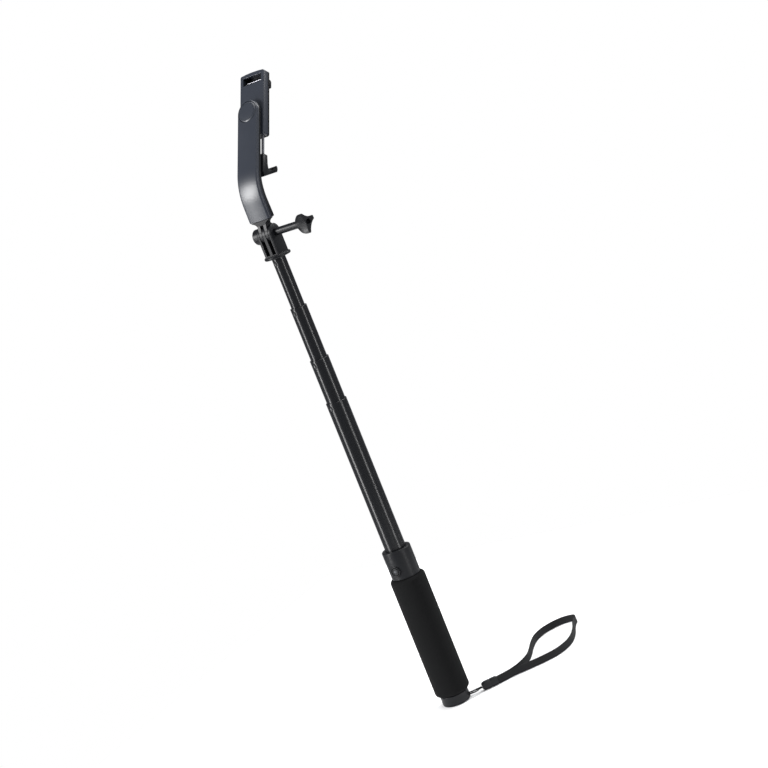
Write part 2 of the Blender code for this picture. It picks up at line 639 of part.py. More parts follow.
def slab(name, outline, near, far, parent, look=None, edge=0.0):
    """An (x, z) outline extruded along Y from near to far."""
    rings = [[(x, y, z) for x, z in outline] for y in (near, far)]
    made = body(name, rings, parent, look, soft=False)
    if edge:
        bevel(made, edge)
    return made


def build_sleeve():
    outline = rounded_rectangle(SLEEVE_HALF, SLEEVE_BOTTOM, SLEEVE_TOP, 1.6, 0.7)
    sleeve = slab("clamp_sleeve", outline, SLEEVE_FRONT, SLEEVE_BACK, clamp_frame,
                  (SLATE_PLASTIC, 0.38), 0.5)
    hollow = box("cutter_sleeve_hollow",
                 (-SLEEVE_HALF + 1.5, SLEEVE_FRONT + SLEEVE_WALL, SLEEVE_BOTTOM + 1.5),
                 (SLEEVE_HALF - 1.5, 0.0, SLEEVE_TOP - 1.5), clamp_frame)
    window = box("cutter_window", (-WINDOW_HALF, -10.0, WINDOW_LOW), (WINDOW_HALF, -5.0, WINDOW_HIGH),
                 clamp_frame)
    shank = spindle("cutter_sleeve_shank", "Y", [(2.3, -10.0), (2.3, -5.0)], clamp_frame)
    rods = [turned(f"cutter_rod_hole_{word}", [(ROD_RADIUS + GAP, -22.0), (ROD_RADIUS + GAP, -17.0)],
                   clamp_frame, count=16, centre=(x, MECHANISM_DEPTH))
            for x, word in both_sides(ROD_OFFSET)]
    cut(sleeve, hollow, window, shank, *rods)
    plate = slab("clamp_back_plate", outline, PLATE_FRONT, PLATE_BACK, clamp_frame,
                 (BLACK_PLASTIC, 0.45))
    hook_outline = [(-1.5, HOOK_LOW), (7.8, HOOK_LOW), (7.8, 28.6), (8.2, 28.2), (8.9, 28.4),
                    (9.3, 29.2), (9.3, HOOK_HIGH - 1.6), (8.6, HOOK_HIGH - 0.5),
                    (7.4, HOOK_HIGH), (-1.5, HOOK_HIGH)]
    hook = side_prism("join_upper_hook", hook_outline, HOOK_HALF, clamp_frame)
    weld(plate, hook)
    side_prism("upper_jaw_pad", [(0.4, HOOK_LOW - 1.1), (7.4, HOOK_LOW - 1.1),
                                 (7.4, HOOK_LOW - GAP), (0.4, HOOK_LOW - GAP)],
               HOOK_HALF - 0.4, clamp_frame, (RUBBER_BLACK, 0.8))
    slab("back_pad", rounded_rectangle(9.0, -16.0, 26.0, 1.5), -0.6, 0.0, clamp_frame,
         (RUBBER_BLACK, 0.85))
    spindle("spring_anchor_pin", "X",
            [(0.8, -10.7), (0.8, 10.7)], clamp_frame, (STEEL, 0.22, 1.0), count=14,
            centre=(MECHANISM_DEPTH, ANCHOR_HEIGHT))
    spindle("pivot_nut", "Y", [(2.3, -6.7), (4.0, -6.7), (4.0, -4.4), (2.3, -4.4)],
            clamp_frame, (STEEL, 0.3, 1.0), looped=True, count=18)


def build_springs():
    """Two tension springs hung from the anchor pin; each ends on top of its guide rod."""
    low, high = ROD_TOP + 0.5, ANCHOR_HEIGHT - 1.3
    steps = SPRING_TURNS * 8
    for x, word in both_sides(ROD_OFFSET):
        coil = []
        for i in range(steps + 1):
            angle = 2 * pi * i / 8
            coil.append((x + SPRING_RADIUS * cos(angle),
                         MECHANISM_DEPTH + SPRING_RADIUS * sin(angle),
                         low + (high - low) * i / steps))
        wire(f"tension_spring_{word}", coil, SPRING_WIRE, clamp_frame, (STEEL, 0.3, 1.0), sides=0)


def build_lower_jaw():
    outline = [(-7.4, RISER_TOP), (-2.0, RISER_TOP), (-1.6, -45.0), (-0.6, SHELF),
               (7.2, SHELF), (8.0, -46.2), (8.6, -43.2), (9.6, -42.6), (10.6, -43.4),
               (11.0, -45.6), (10.4, -47.8), (-3.8, -56.0), (-5.4, -56.8), (-7.4, -53.6)]
    jaw = side_prism("lower_jaw", outline, JAW_HALF, jaw_frame, (BLACK_PLASTIC, 0.42), 0.35)
    seats = []
    for x, word in both_sides(ROD_OFFSET):
        place = (x, MECHANISM_DEPTH)
        seats.append(turned(f"cutter_rod_seat_{word}",
                            [(ROD_RADIUS + GAP, ROD_FOOT - GAP), (ROD_RADIUS + GAP, RISER_TOP + 1.0)],
                            jaw_frame, count=16, centre=place))
        turned(f"guide_rod_{word}",
               [(ROD_RADIUS - 0.2, ROD_FOOT), (ROD_RADIUS, ROD_FOOT + 0.2),
                (ROD_RADIUS, ROD_TOP - 0.3), (ROD_RADIUS - 0.3, ROD_TOP)],
               jaw_frame, (STEEL, 0.22, 1.0), count=16, centre=place)
    cut(jaw, *seats)
    box("lower_jaw_pad", (-JAW_HALF + 1.0, 0.0, SHELF + GAP), (JAW_HALF - 1.0, 6.6, SHELF + 1.3),
        jaw_frame, (RUBBER_BLACK, 0.8))


# ---------------------------------------------------------------- wrist strap

def build_lanyard_cord():
    """One loop of cord: from the crimp round the pin inside the cap's notch and back."""
    out = Vector((cos(LANYARD_ANGLE), sin(LANYARD_ANGLE)))
    side = Vector((-out.y, out.x))
    pin = PIN_DISTANCE * out
    heading = (CRIMP_END - CRIMP_START).normalized()
    across = Vector((-heading.y, heading.x))
    mouth = CRIMP_START - GAP * heading
    turn = [pin + CORD_TURN * (cos(radians(a)) * side - sin(radians(a)) * out)
            for a in range(0, 181, 30)]
    first = [mouth + 0.95 * across, mouth + 0.95 * across - 2.5 * heading, Vector((14.2, 9.6)),
             pin + CORD_TURN * side + 3.0 * out]
    last = [pin - CORD_TURN * side + 3.0 * out, Vector((16.6, 5.6)), Vector((18.0, 8.4)),
            mouth - 0.95 * across - 2.5 * heading, mouth - 0.95 * across]
    route = smooth_route([*first, *turn, *last], 1.6)
    wire("lanyard_cord", [(p.x, p.y, CORD_HEIGHT) for p in route], CORD_RADIUS, handle_frame,
         (RUBBER_BLACK, 0.9))


def build_crimp():
    heading = (CRIMP_END - CRIMP_START).normalized()
    length = (CRIMP_END - CRIMP_START).length
    crimp = box("strap_crimp", (0.0, -CRIMP_THICKNESS / 2, 0.0),
                (length, CRIMP_THICKNESS / 2, CRIMP_HEIGHT), handle_frame, (BLACK_PLASTIC, 0.4), 0.9)
    crimp.location = (CRIMP_START.x * MM, CRIMP_START.y * MM, 0.0)
    crimp.rotation_euler = (0.0, 0.0, atan2(heading.y, heading.x))


def build_webbing():
    """The flat strap standing on its edge: out of the crimp, round the hand loop and back."""
    route = smooth_route(STRAP_ROUTE, 3.2)
    rings = []
    for i, point in enumerate(route):
        ahead = route[min(i + 1, len(route) - 1)] - route[max(i - 1, 0)]
        across = Vector((-ahead.y, ahead.x)).normalized() * (STRAP_THICKNESS / 2)
        a, b = point - across, point + across
        rings.append([(a.x, a.y, 0.0), (b.x, b.y, 0.0), (b.x, b.y, STRAP_WIDTH),
                      (a.x, a.y, STRAP_WIDTH)])
    body("strap_webbing", rings, handle_frame, (RUBBER_BLACK, 0.95))


for build in (build_end_cap, build_grip, build_collar, build_shutter, build_power, build_tubes,
              build_head_mount, build_thumbscrew, build_arm, build_sleeve, build_springs,
              build_lower_jaw, build_lanyard_cord, build_crimp, build_webbing):
    build()
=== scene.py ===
"""The selfie stick's looks: finer meshes, materials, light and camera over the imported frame."""

import json
from math import atan2, cos, pi, radians, sin, tan

import bmesh
import bpy
from mathutils import Matrix, Vector

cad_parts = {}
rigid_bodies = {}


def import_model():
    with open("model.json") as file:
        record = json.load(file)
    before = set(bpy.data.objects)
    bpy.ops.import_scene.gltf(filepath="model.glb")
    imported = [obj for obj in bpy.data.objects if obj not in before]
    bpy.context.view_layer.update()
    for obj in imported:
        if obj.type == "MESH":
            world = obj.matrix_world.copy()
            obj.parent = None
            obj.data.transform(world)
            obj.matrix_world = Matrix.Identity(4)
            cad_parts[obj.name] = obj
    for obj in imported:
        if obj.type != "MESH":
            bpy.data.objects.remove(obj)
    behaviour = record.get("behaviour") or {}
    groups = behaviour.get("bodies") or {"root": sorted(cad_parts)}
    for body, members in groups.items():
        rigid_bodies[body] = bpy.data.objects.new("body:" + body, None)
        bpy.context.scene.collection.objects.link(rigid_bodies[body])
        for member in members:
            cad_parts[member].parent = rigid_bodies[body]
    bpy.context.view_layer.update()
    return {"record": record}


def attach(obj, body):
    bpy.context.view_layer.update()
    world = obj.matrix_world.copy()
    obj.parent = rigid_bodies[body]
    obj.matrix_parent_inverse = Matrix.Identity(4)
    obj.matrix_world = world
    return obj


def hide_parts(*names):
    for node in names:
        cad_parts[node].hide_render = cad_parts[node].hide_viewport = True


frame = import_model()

MM = 0.001
GAP = 0.3            # clearance left between pieces that touch on the real stick
SEGMENTS = 96        # sides of a large round piece
FINE_SEGMENTS = 48   # sides of a small round piece
SKIN_ANGLE = radians(30)     # sharper edges than this stay sharp on a turned or lofted skin
CHAMFER_ANGLE = radians(40)  # sharper edges than this are chamfered on a block
CUT_ANGLE = radians(28)      # sharper edges than this are rounded after cuts and joins

# Heights along the pole, measured up from the bottom face of the end cap.
GRIP_CENTRE = 64.0
CAP_HEIGHT = 9.3
FOAM_BOTTOM, FOAM_TOP = 9.6, 118.0
CORE_TOP = 121.0
CHAMBER_TOP, SOCKET_BOTTOM = 77.0, 80.0
COLLAR_BOTTOM, COLLAR_TOP = 118.3, 143.1
COLLAR_STEP = 134.0
BUTTON_HEIGHT = 126.5
OUTER_TUBE_BOTTOM, OUTER_TUBE_TOP = 83.3, 277.2
TUBE_TOPS = (315.0, 360.7, 404.1)       # tops of the three sliding tubes as stored
TUBE_BOTTOMS = (129.3, 182.8, 234.3)
FLANGE_BOTTOM, FLANGE_TOP = 404.4, 406.8
HINGE_HEIGHT = 424.4

# Handle.
CAP_RADIUS = 12.3
FOAM_RADIUS, FOAM_BORE = 15.2, 11.3
CORE_RADIUS, CHAMBER_RADIUS, SOCKET_RADIUS = 11.0, 7.3, 9.2
COLLAR_RADIUS = 12.45
CELL_RADIUS, CELL_BOTTOM, CELL_TOP = 7.0, 24.0, 72.8
LANYARD_ANGLE = radians(24.0)
PIN_RADIUS = 0.8

# Telescopic tubes, from the fixed one inwards: outer radii, one wall and one key groove.
TUBE_RADII = (8.9, 8.03, 7.05, 5.8)
TUBE_WALL = 0.5
GROOVE_DEPTH, GROOVE_HALF_WIDTH = 0.35, 1.1
PLUG_DEPTH = 8.0
PLUG_FOOT = 2.5
LIP_ROUND = 0.42             # rounding of a tube's rolled mouth
CRIMP_DROP = 4.6             # from a tube's mouth down to its crimps

# Shutter button: everything sits on the -Y side of the collar, round an axis along Y.
BUTTON_RADIUS, BEZEL_BORE, BEZEL_RADIUS = 3.25, 3.55, 4.45

# Folding head: three prongs on a flange, two tongues between them.
FLANGE_RADIUS = 11.2
PRONG_RADIUS = 7.5
MIDDLE_PRONG, SLOT, OUTER_PRONG = 2.9, 3.15, 2.4
STACK_HALF = MIDDLE_PRONG / 2 + SLOT + OUTER_PRONG
BOLT_RADIUS, BOLT_HOLE = 2.0, 2.3
NUT_RADIUS, NUT_BORE = 4.05, 2.6
BOSS_RADIUS, BOSS_LENGTH = 6.5, 6.0
SHAFT_RADIUS, KNOB_START, KNOB_END = 3.1, 31.0, 41.0
KNOB_TIP, KNOB_NECK, KNOB_PHASE = 9.3, 4.4, radians(9.0)
KNOB_HOLLOW, KNOB_HOLLOW_CENTRE = 15.7, 20.0     # the arc that hollows each side of the star

# Arm: a short upright lower part, then a longer part that leans back by LEAN.
LEAN = radians(35.5)
ARM_SETBACK = -2.0
ARM_LOWER, ARM_UPPER = 40.7, 66.2
ARM_BEND = 44.0
ARM_HALF_WIDTH = 10.8
ARM_FOOT = 12.6          # height of the wide part's lower end above the hinge
SEAM_TO_PHONE = 11.9    # from the arm's parting line to the phone's back face

# Clamp, in the pivot's own frame: X across, Y through the phone, Z along the jaws' travel.
SLEEVE_HALF, SLEEVE_TOP, SLEEVE_BOTTOM = 12.5, 37.6, -20.4
SLEEVE_FRONT, SLEEVE_BACK = -8.4, -2.4
SLEEVE_WALL = 1.4
WINDOW_HALF, WINDOW_LOW, WINDOW_HIGH = 9.5, 27.8, 34.7
PLATE_FRONT, PLATE_BACK = -2.1, -0.9
HOOK_HALF, HOOK_LOW, HOOK_HIGH = 6.0, 31.6, 35.6
MECHANISM_DEPTH = -4.7   # where rods, springs and the anchor pin lie inside the sleeve
ROD_OFFSET, ROD_RADIUS, ROD_TOP, ROD_FOOT = 8.8, 1.2, 2.3, -43.6
SPRING_RADIUS, SPRING_WIRE, SPRING_TURNS = 1.65, 0.2, 11
ANCHOR_HEIGHT = 30.9
JAW_HALF, RISER_TOP, SHELF = 11.5, -37.4, -49.0
PAD_EDGE = 0.35            # rounding of the rubber pads

# Wrist strap, lying on the surface that the end cap stands on.
STRAP_WIDTH, STRAP_THICKNESS = 6.5, 1.2
CORD_RADIUS, CORD_HEIGHT = 0.6, 3.4
PIN_DISTANCE, CORD_TURN = 10.5, 2.0      # lanyard pin from the axis; the cord's turn round it
CRIMP_START, CRIMP_END = Vector((19.6, 13.8)), Vector((29.6, 24.0))
CRIMP_HEIGHT, CRIMP_THICKNESS = 7.2, 4.8
STRAP_ROUTE = (
    (29.13, 24.88), (33.6, 31.0), (37.6, 38.0), (40.0, 47.0), (40.5, 57.6), (39.4, 66.0),
    (36.2, 75.5), (31.4, 87.5), (27.4, 99.5), (25.8, 110.0), (27.2, 120.0), (31.6, 129.0),
    (38.2, 135.6), (45.0, 138.3), (50.2, 138.2), (53.2, 135.2), (55.0, 129.2), (58.8, 120.0),
    (64.5, 108.5), (69.0, 97.0), (71.4, 87.0), (71.5, 77.0), (68.3, 65.0), (60.0, 54.0),
    (50.1, 44.6), (43.6, 39.2), (39.2, 35.2), (35.3, 29.5), (30.49, 23.55),
)


# ---------------------------------------------------------------- camera

def build_camera():
    """The photograph's angle: azimuth 35.2, elevation 10.2 and a long lens."""
    data = bpy.data.cameras.new("camera")
    data.lens = 103.1
    data.sensor_width = 36.0
    data.clip_end = 20.0
    made = bpy.data.objects.new("camera", data)
    right = Vector((0.7967, 0.4821, -0.3644))
    up = Vector((0.2076, 0.3479, 0.9143))
    back = right.cross(up).normalized()
    turn = Matrix((right, up, back)).transposed().to_4x4()
    made.matrix_world = Matrix.Translation((1.05677, -1.42523, 0.53014)) @ turn
    bpy.context.scene.collection.objects.link(made)
    bpy.context.scene.camera = made


build_camera()


# ---------------------------------------------------------------- materials

class Look:
    """A procedural finish: two close tones, uneven gloss and a fine bump."""

    def __init__(self, tone, other, rough, spread=0.06, metallic=0.0, grain=900.0, bump=0.1,
                 depth=0.00002, stretch=(1.0, 1.0, 1.0), weave=None, shine=0.5):
        self.tone, self.other = tone, other
        self.rough, self.spread, self.metallic = rough, spread, metallic
        self.grain, self.bump, self.depth, self.stretch = grain, bump, depth, stretch
        self.weave, self.shine = weave, shine


def finish_with(name, look):
    made = bpy.data.materials.new(name)
    made.use_nodes = True
    nodes, links = made.node_tree.nodes, made.node_tree.links
    shader = nodes["Principled BSDF"]
    coords = nodes.new("ShaderNodeTexCoord")
    mapping = nodes.new("ShaderNodeMapping")
    mapping.inputs["Scale"].default_value = look.stretch
    links.new(coords.outputs["Object"], mapping.inputs["Vector"])

    broad = nodes.new("ShaderNodeTexNoise")
    broad.inputs["Scale"].default_value = 45.0
    broad.inputs["Detail"].default_value = 4.0
    links.new(mapping.outputs["Vector"], broad.inputs["Vector"])
    fine = nodes.new("ShaderNodeTexNoise")
    fine.inputs["Scale"].default_value = look.grain
    fine.inputs["Detail"].default_value = 3.0
    links.new(mapping.outputs["Vector"], fine.inputs["Vector"])

    tones = nodes.new("ShaderNodeMix")
    tones.data_type = "RGBA"
    tones.inputs["A"].default_value = (*look.tone, 1.0)
    tones.inputs["B"].default_value = (*look.other, 1.0)
    both = nodes.new("ShaderNodeMath")
    both.operation = "MULTIPLY_ADD"
    both.inputs[1].default_value = 0.5
    links.new(broad.outputs["Fac"], both.inputs[0])
    half = nodes.new("ShaderNodeMath")
    half.operation = "MULTIPLY"
    half.inputs[1].default_value = 0.5
    links.new(fine.outputs["Fac"], half.inputs[0])
    links.new(half.outputs["Value"], both.inputs[2])
    links.new(both.outputs["Value"], tones.inputs["Factor"])
    links.new(tones.outputs["Result"], shader.inputs["Base Color"])

    gloss = nodes.new("ShaderNodeMapRange")
    gloss.inputs["To Min"].default_value = max(0.02, look.rough - look.spread)
    gloss.inputs["To Max"].default_value = min(1.0, look.rough + look.spread)
    links.new(broad.outputs["Fac"], gloss.inputs["Value"])
    links.new(gloss.outputs["Result"], shader.inputs["Roughness"])

    height = fine.outputs["Fac"]
    if look.weave:
        wave = nodes.new("ShaderNodeTexWave")
        wave.bands_direction = look.weave[0]
        wave.inputs["Scale"].default_value = look.weave[1]
        wave.inputs["Distortion"].default_value = 0.6
        links.new(coords.outputs["Object"], wave.inputs["Vector"])
        blend = nodes.new("ShaderNodeMath")
        blend.operation = "MULTIPLY_ADD"
        blend.inputs[1].default_value = 0.35
        links.new(fine.outputs["Fac"], blend.inputs[0])
        links.new(wave.outputs["Fac"], blend.inputs[2])
        height = blend.outputs["Value"]
    bump = nodes.new("ShaderNodeBump")
    bump.inputs["Strength"].default_value = look.bump
    bump.inputs["Distance"].default_value = look.depth
    links.new(height, bump.inputs["Height"])
    links.new(bump.outputs["Normal"], shader.inputs["Normal"])

    shader.inputs["Metallic"].default_value = look.metallic
    shader.inputs["Specular IOR Level"].default_value = look.shine
    return made


LOOKS = {
    "anodised": Look((0.0035, 0.0038, 0.0046), (0.006, 0.0065, 0.0078), 0.24, 0.03, 0.0, 700.0, 0.015,
                     stretch=(1.0, 1.0, 0.12), shine=0.4),
    "black_plastic": Look((0.0032, 0.0036, 0.0046), (0.0056, 0.0062, 0.0078), 0.4, 0.04, 0.0, 900.0,
                          0.03, shine=0.22),
    "slate_plastic": Look((0.015, 0.0178, 0.0255), (0.022, 0.0258, 0.035), 0.34, 0.04, 0.0, 900.0,
                          0.03, shine=0.42),
    "foam": Look((0.0022, 0.0023, 0.0025), (0.0065, 0.0067, 0.007), 0.92, 0.06, 0.0, 1500.0, 1.0,
                 0.00025, shine=0.12),
    "pad_rubber": Look((0.006, 0.006, 0.0065), (0.011, 0.011, 0.012), 0.8, 0.08, 0.0, 1200.0, 0.4,
                       shine=0.25),
    "cord": Look((0.004, 0.0042, 0.0046), (0.020, 0.0205, 0.022), 0.85, 0.06, 0.0, 2200.0, 0.8, 0.00015,
                 weave=("DIAGONAL", 260.0), shine=0.2),
    "steel": Look((0.15, 0.15, 0.165), (0.21, 0.21, 0.225), 0.36, 0.06, 1.0, 900.0, 0.03),
    "guide_plastic": Look((0.68, 0.68, 0.66), (0.76, 0.76, 0.74), 0.5, 0.06),
    "cell_sleeve": Look((0.04, 0.14, 0.32), (0.06, 0.18, 0.38), 0.3, 0.05),
    "board": Look((0.008, 0.10, 0.04), (0.012, 0.14, 0.06), 0.4, 0.06),
    "film": Look((0.26, 0.12, 0.025), (0.34, 0.16, 0.035), 0.35, 0.06),
}
MATERIALS = {name: finish_with(name + "_finish", look) for name, look in LOOKS.items()}
SLOTS = {piece["node"]: piece["material_slot"] for piece in frame["record"]["subparts"]}
BODIES = {
    node: name
    for name, members in frame["record"]["behaviour"]["bodies"].items()
    for node in members
}


# ---------------------------------------------------------------- frames of the moving pieces

def place(location, lean=0.0):
    return Matrix.Translation(Vector(location) * MM) @ Matrix.Rotation(-lean, 4, "X")


BASE = place((0, 0, -GRIP_CENTRE))
PIVOT_ON_SEAM = (ARM_SETBACK + ARM_UPPER * sin(LEAN), ARM_LOWER + ARM_UPPER * cos(LEAN))
PIVOT = (
    0.0,
    PIVOT_ON_SEAM[0] + SEAM_TO_PHONE * cos(LEAN),
    PIVOT_ON_SEAM[1] - SEAM_TO_PHONE * sin(LEAN) + HINGE_HEIGHT,
)
handle_frame = BASE
button_frame = BASE @ place((0, -COLLAR_RADIUS, BUTTON_HEIGHT))
tube_frames = [BASE @ place((0, 0, bottom)) for bottom in TUBE_BOTTOMS]
hinge_frame = BASE @ place((0, 0, HINGE_HEIGHT))
clamp_frame = BASE @ place(PIVOT, LEAN)


# ---------------------------------------------------------------- mesh helpers

SHOWN = True    # a piece that stands for the CAD node of its name; anything else is a tool


def link(name, data, at, shown):
    """Puts a piece in the row frame, with its node's finish and body when it is shown."""
    if not shown:
        made = bpy.data.objects.new(name, data)
        made.matrix_world = at
        bpy.context.scene.collection.objects.link(made)
        return made
    made = bpy.data.objects.new("fine_" + name, data)
    made.matrix_world = at
    bpy.context.scene.collection.objects.link(made)
    data.materials.append(MATERIALS[SLOTS[name]])
    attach(made, BODIES[name])
    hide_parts(name)
    return made


def dress(made, slot, rider):
    """Finish and body for a small extra piece that has no CAD node of its own."""
    made.data.materials.append(MATERIALS[slot])
    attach(made, rider)


def body(name, rings, at, shown=False, looped=False, soft=True):
    """A closed skin over rings of points; looped joins the last ring to the first."""
    mesh = bmesh.new()
    rows = [[mesh.verts.new(Vector(p) * MM) for p in ring] for ring in rings]
    count = len(rings[0])
    pairs = list(zip(rows, rows[1:]))
    if looped:
        pairs.append((rows[-1], rows[0]))
    for low, high in pairs:
        for i in range(count):
            j = (i + 1) % count
            mesh.faces.new((low[i], low[j], high[j], high[i]))
    if not looped:
        mesh.faces.new(rows[0])
        mesh.faces.new(rows[-1])
    bmesh.ops.recalc_face_normals(mesh, faces=mesh.faces)
    data = bpy.data.meshes.new(name)
    mesh.to_mesh(data)
    mesh.free()
    if soft:
        data.shade_smooth()
        data.set_sharp_from_angle(angle=SKIN_ANGLE)
    return link(name, data, at, shown)


def circle(radius, height, count=SEGMENTS, centre=(0.0, 0.0)):
    turn = 2 * pi / count
    return [
        (centre[0] + radius * cos(turn * i), centre[1] + radius * sin(turn * i), height)
        for i in range(count)
    ]


def turned(name, profile, at, shown=False, looped=False, count=SEGMENTS, centre=(0.0, 0.0)):
    """A turned piece: profile is (radius, height) pairs, closed on itself when looped."""
    rings = [circle(radius, height, count, centre) for radius, height in profile]
    return body(name, rings, at, shown, looped)


def along(axis, points):
    """Turns points made along Z so that their Z runs along another axis."""
    swaps = {"X": lambda p: (p[2], p[0], p[1]), "Y": lambda p: (p[1], p[2], p[0])}
    return [swaps[axis](p) for p in points]


def spindle(name, axis, profile, at, shown=False, looped=False, count=FINE_SEGMENTS, centre=(0, 0)):
    """A turned piece whose axis is X or Y, at a centre given in the other two axes."""
    rings = [along(axis, circle(radius, height, count, centre)) for radius, height in profile]
    return body(name, rings, at, shown, looped)


def box(name, low, high, at, shown=False, round_edges=0.0):
    corners = ((low[0], low[1]), (high[0], low[1]), (high[0], high[1]), (low[0], high[1]))
    rings = [[(x, y, z) for x, y in corners] for z in (low[2], high[2])]
    made = body(name, rings, at, shown, soft=False)
    if round_edges:
        bevel(made, round_edges)
    return made


def side_prism(name, outline, half, at, shown=False, round_edges=0.0):
    """An outline of (y, z) points extruded across X, from -half to +half or low to high."""
    low, high = half if isinstance(half, tuple) else (-half, half)
    rings = [[(x, y, z) for y, z in outline] for x in (low, high)]
    made = body(name, rings, at, shown, soft=False)
    if round_edges:
        bevel(made, round_edges)
    return made


def both_sides(offset):
    return ((-offset, "left"), (offset, "right"))


def bevel(target, width, steps=2):
    edge = target.modifiers.new("edge", "BEVEL")
    edge.width = width * MM
    edge.segments = steps
    edge.limit_method = "ANGLE"
    edge.angle_limit = CHAMFER_ANGLE


def combine(target, operation, tools):
    for tool in tools:
        tool.hide_render = True
        tool.display_type = "WIRE"
        step = target.modifiers.new(operation.lower(), "BOOLEAN")
        step.operation = operation
        step.solver = "EXACT"
        step.object = tool


def cut(target, *tools):
    combine(target, "DIFFERENCE", tools)


def weld(target, *tools):
    combine(target, "UNION", tools)


def settle(target, edge=0.2):
    """Makes the cuts and joins real, shades the result and rounds its edges."""
    bpy.context.view_layer.update()
    graph = bpy.context.evaluated_depsgraph_get()
    data = bpy.data.meshes.new_from_object(target.evaluated_get(graph))
    target.modifiers.clear()
    target.data = data
    data.shade_smooth()
    data.set_sharp_from_angle(angle=CUT_ANGLE)
    if edge:
        soften(target, edge)


def soften(target, width, steps=3):
    edge = target.modifiers.new("edge", "BEVEL")
    edge.width = width * MM
    edge.segments = steps
    edge.limit_method = "ANGLE"
    edge.angle_limit = CUT_ANGLE
    edge.harden_normals = True
    edge.use_clamp_overlap = True


def arc(centre, radius, start, end, steps):
    """Points on an arc, both ends included, angles in degrees."""
    return [
        (
            centre[0] + radius * cos(radians(start + (end - start) * i / steps)),
            centre[1] + radius * sin(radians(start + (end - start) * i / steps)),
        )
        for i in range(steps + 1)
    ]


def smooth_route(points, step):
    """Evenly spaced points on a Catmull-Rom curve through the given ones."""
    points = [Vector(p) for p in points]
    padded = [2 * points[0] - points[1], *points, 2 * points[-1] - points[-2]]
    dense = []
    for a, b, c, d in zip(padded, padded[1:], padded[2:], padded[3:]):
        for i in range(12):
            t = i / 12
            dense.append(
                0.5 * (2 * b + (c - a) * t + (2 * a - 5 * b + 4 * c - d) * t * t
                       + (3 * b - a - 3 * c + d) * t ** 3)
            )
    dense.append(points[-1])
    lengths = [0.0]
    for a, b in zip(dense, dense[1:]):
        lengths.append(lengths[-1] + (b - a).length)
    count = max(2, round(lengths[-1] / step))
    even, at = [], 0
    for i in range(count + 1):
        goal = lengths[-1] * i / count
        while at < len(dense) - 2 and lengths[at + 1] < goal:
            at += 1
        part = (goal - lengths[at]) / (lengths[at + 1] - lengths[at])
        even.append(dense[at].lerp(dense[at + 1], part))
    return even


def wire(name, points, radius, at, shown, sides=2):
    """A round wire or cord along points, as a bevelled curve with closed ends."""
    data = bpy.data.curves.new(name, "CURVE")
    data.dimensions = "3D"
    data.bevel_depth = radius * MM
    data.bevel_resolution = sides
    data.use_fill_caps = True
    spline = data.splines.new("POLY")
    spline.points.add(len(points) - 1)
    for slot, point in zip(spline.points, points):
        slot.co = (*(Vector(point) * MM), 1.0)
    return link(name, data, at, shown)


# ---------------------------------------------------------------- handle

def rounded_tube_profile(outer, bore, low, high, edge):
    """A sleeve's closed profile, its outer edges rounded."""
    top = [(outer - edge + edge * cos(radians(a)), high - edge + edge * sin(radians(a)))
           for a in range(0, 91, 10)]
    bottom = [(outer - edge + edge * cos(radians(a)), low + edge + edge * sin(radians(a)))
              for a in range(-90, 1, 10)]
    return [(bore, low), *bottom, *top, (bore, high)]


def build_end_cap():
    edge = 1.5
    rim = [(CAP_RADIUS - edge + edge * sin(radians(a)), edge - edge * cos(radians(a)))
           for a in range(0, 91, 10)]
    spigot = CHAMBER_RADIUS - GAP
    cap = turned(
        "end_cap",
        [*rim, (CAP_RADIUS, CAP_HEIGHT - 0.6), (CAP_RADIUS - 0.6, CAP_HEIGHT),
         (spigot, CAP_HEIGHT), (spigot, 19.4), (spigot - 0.6, 20.0)],
        handle_frame, SHOWN,
    )
    notch = box("cutter_lanyard_notch", (7.4, -3.1, 1.8), (14.0, 3.1, 5.0), handle_frame)
    notch.rotation_euler = (0, 0, LANYARD_ANGLE)
    place = (PIN_DISTANCE * cos(LANYARD_ANGLE), PIN_DISTANCE * sin(LANYARD_ANGLE))
    hole = turned("cutter_pin_hole", [(PIN_RADIUS + GAP, 0.8), (PIN_RADIUS + GAP, 7.0)],
                  handle_frame, count=32, centre=place)
    cut(cap, notch, hole)
    settle(cap)
    turned("lanyard_pin", [(PIN_RADIUS, 1.1), (PIN_RADIUS, 6.7)],
           handle_frame, SHOWN, count=32, centre=place)


def build_grip():
    grip = turned("foam_grip",
                  rounded_tube_profile(FOAM_RADIUS, FOAM_BORE, FOAM_BOTTOM, FOAM_TOP, 3.2),
                  handle_frame, SHOWN, looped=True)
    core = turned(
        "handle_core",
        [(CORE_RADIUS, FOAM_BOTTOM), (CORE_RADIUS, CORE_TOP), (SOCKET_RADIUS, CORE_TOP),
         (SOCKET_RADIUS, SOCKET_BOTTOM), (3.0, SOCKET_BOTTOM), (3.0, CHAMBER_TOP),
         (CHAMBER_RADIUS, CHAMBER_TOP), (CHAMBER_RADIUS, FOAM_BOTTOM)],
        handle_frame, SHOWN, looped=True,
    )
    groove = box("cutter_lead_groove", (-1.8, -12.0, 70.0), (1.8, -10.1, 122.0), handle_frame)
    slot = box("cutter_lead_slot", (-1.8, -12.0, 70.0), (1.8, -6.5, 73.0), handle_frame)
    cut(core, groove, slot)
    settle(core)
    lead = [(-7.4, 71.0), (-7.4, 71.3), (-10.4, 71.3), (-10.4, 123.2),
            (-10.65, 123.2), (-10.65, 71.0)]
    side_prism("flex_lead", lead, 1.3, handle_frame, SHOWN)


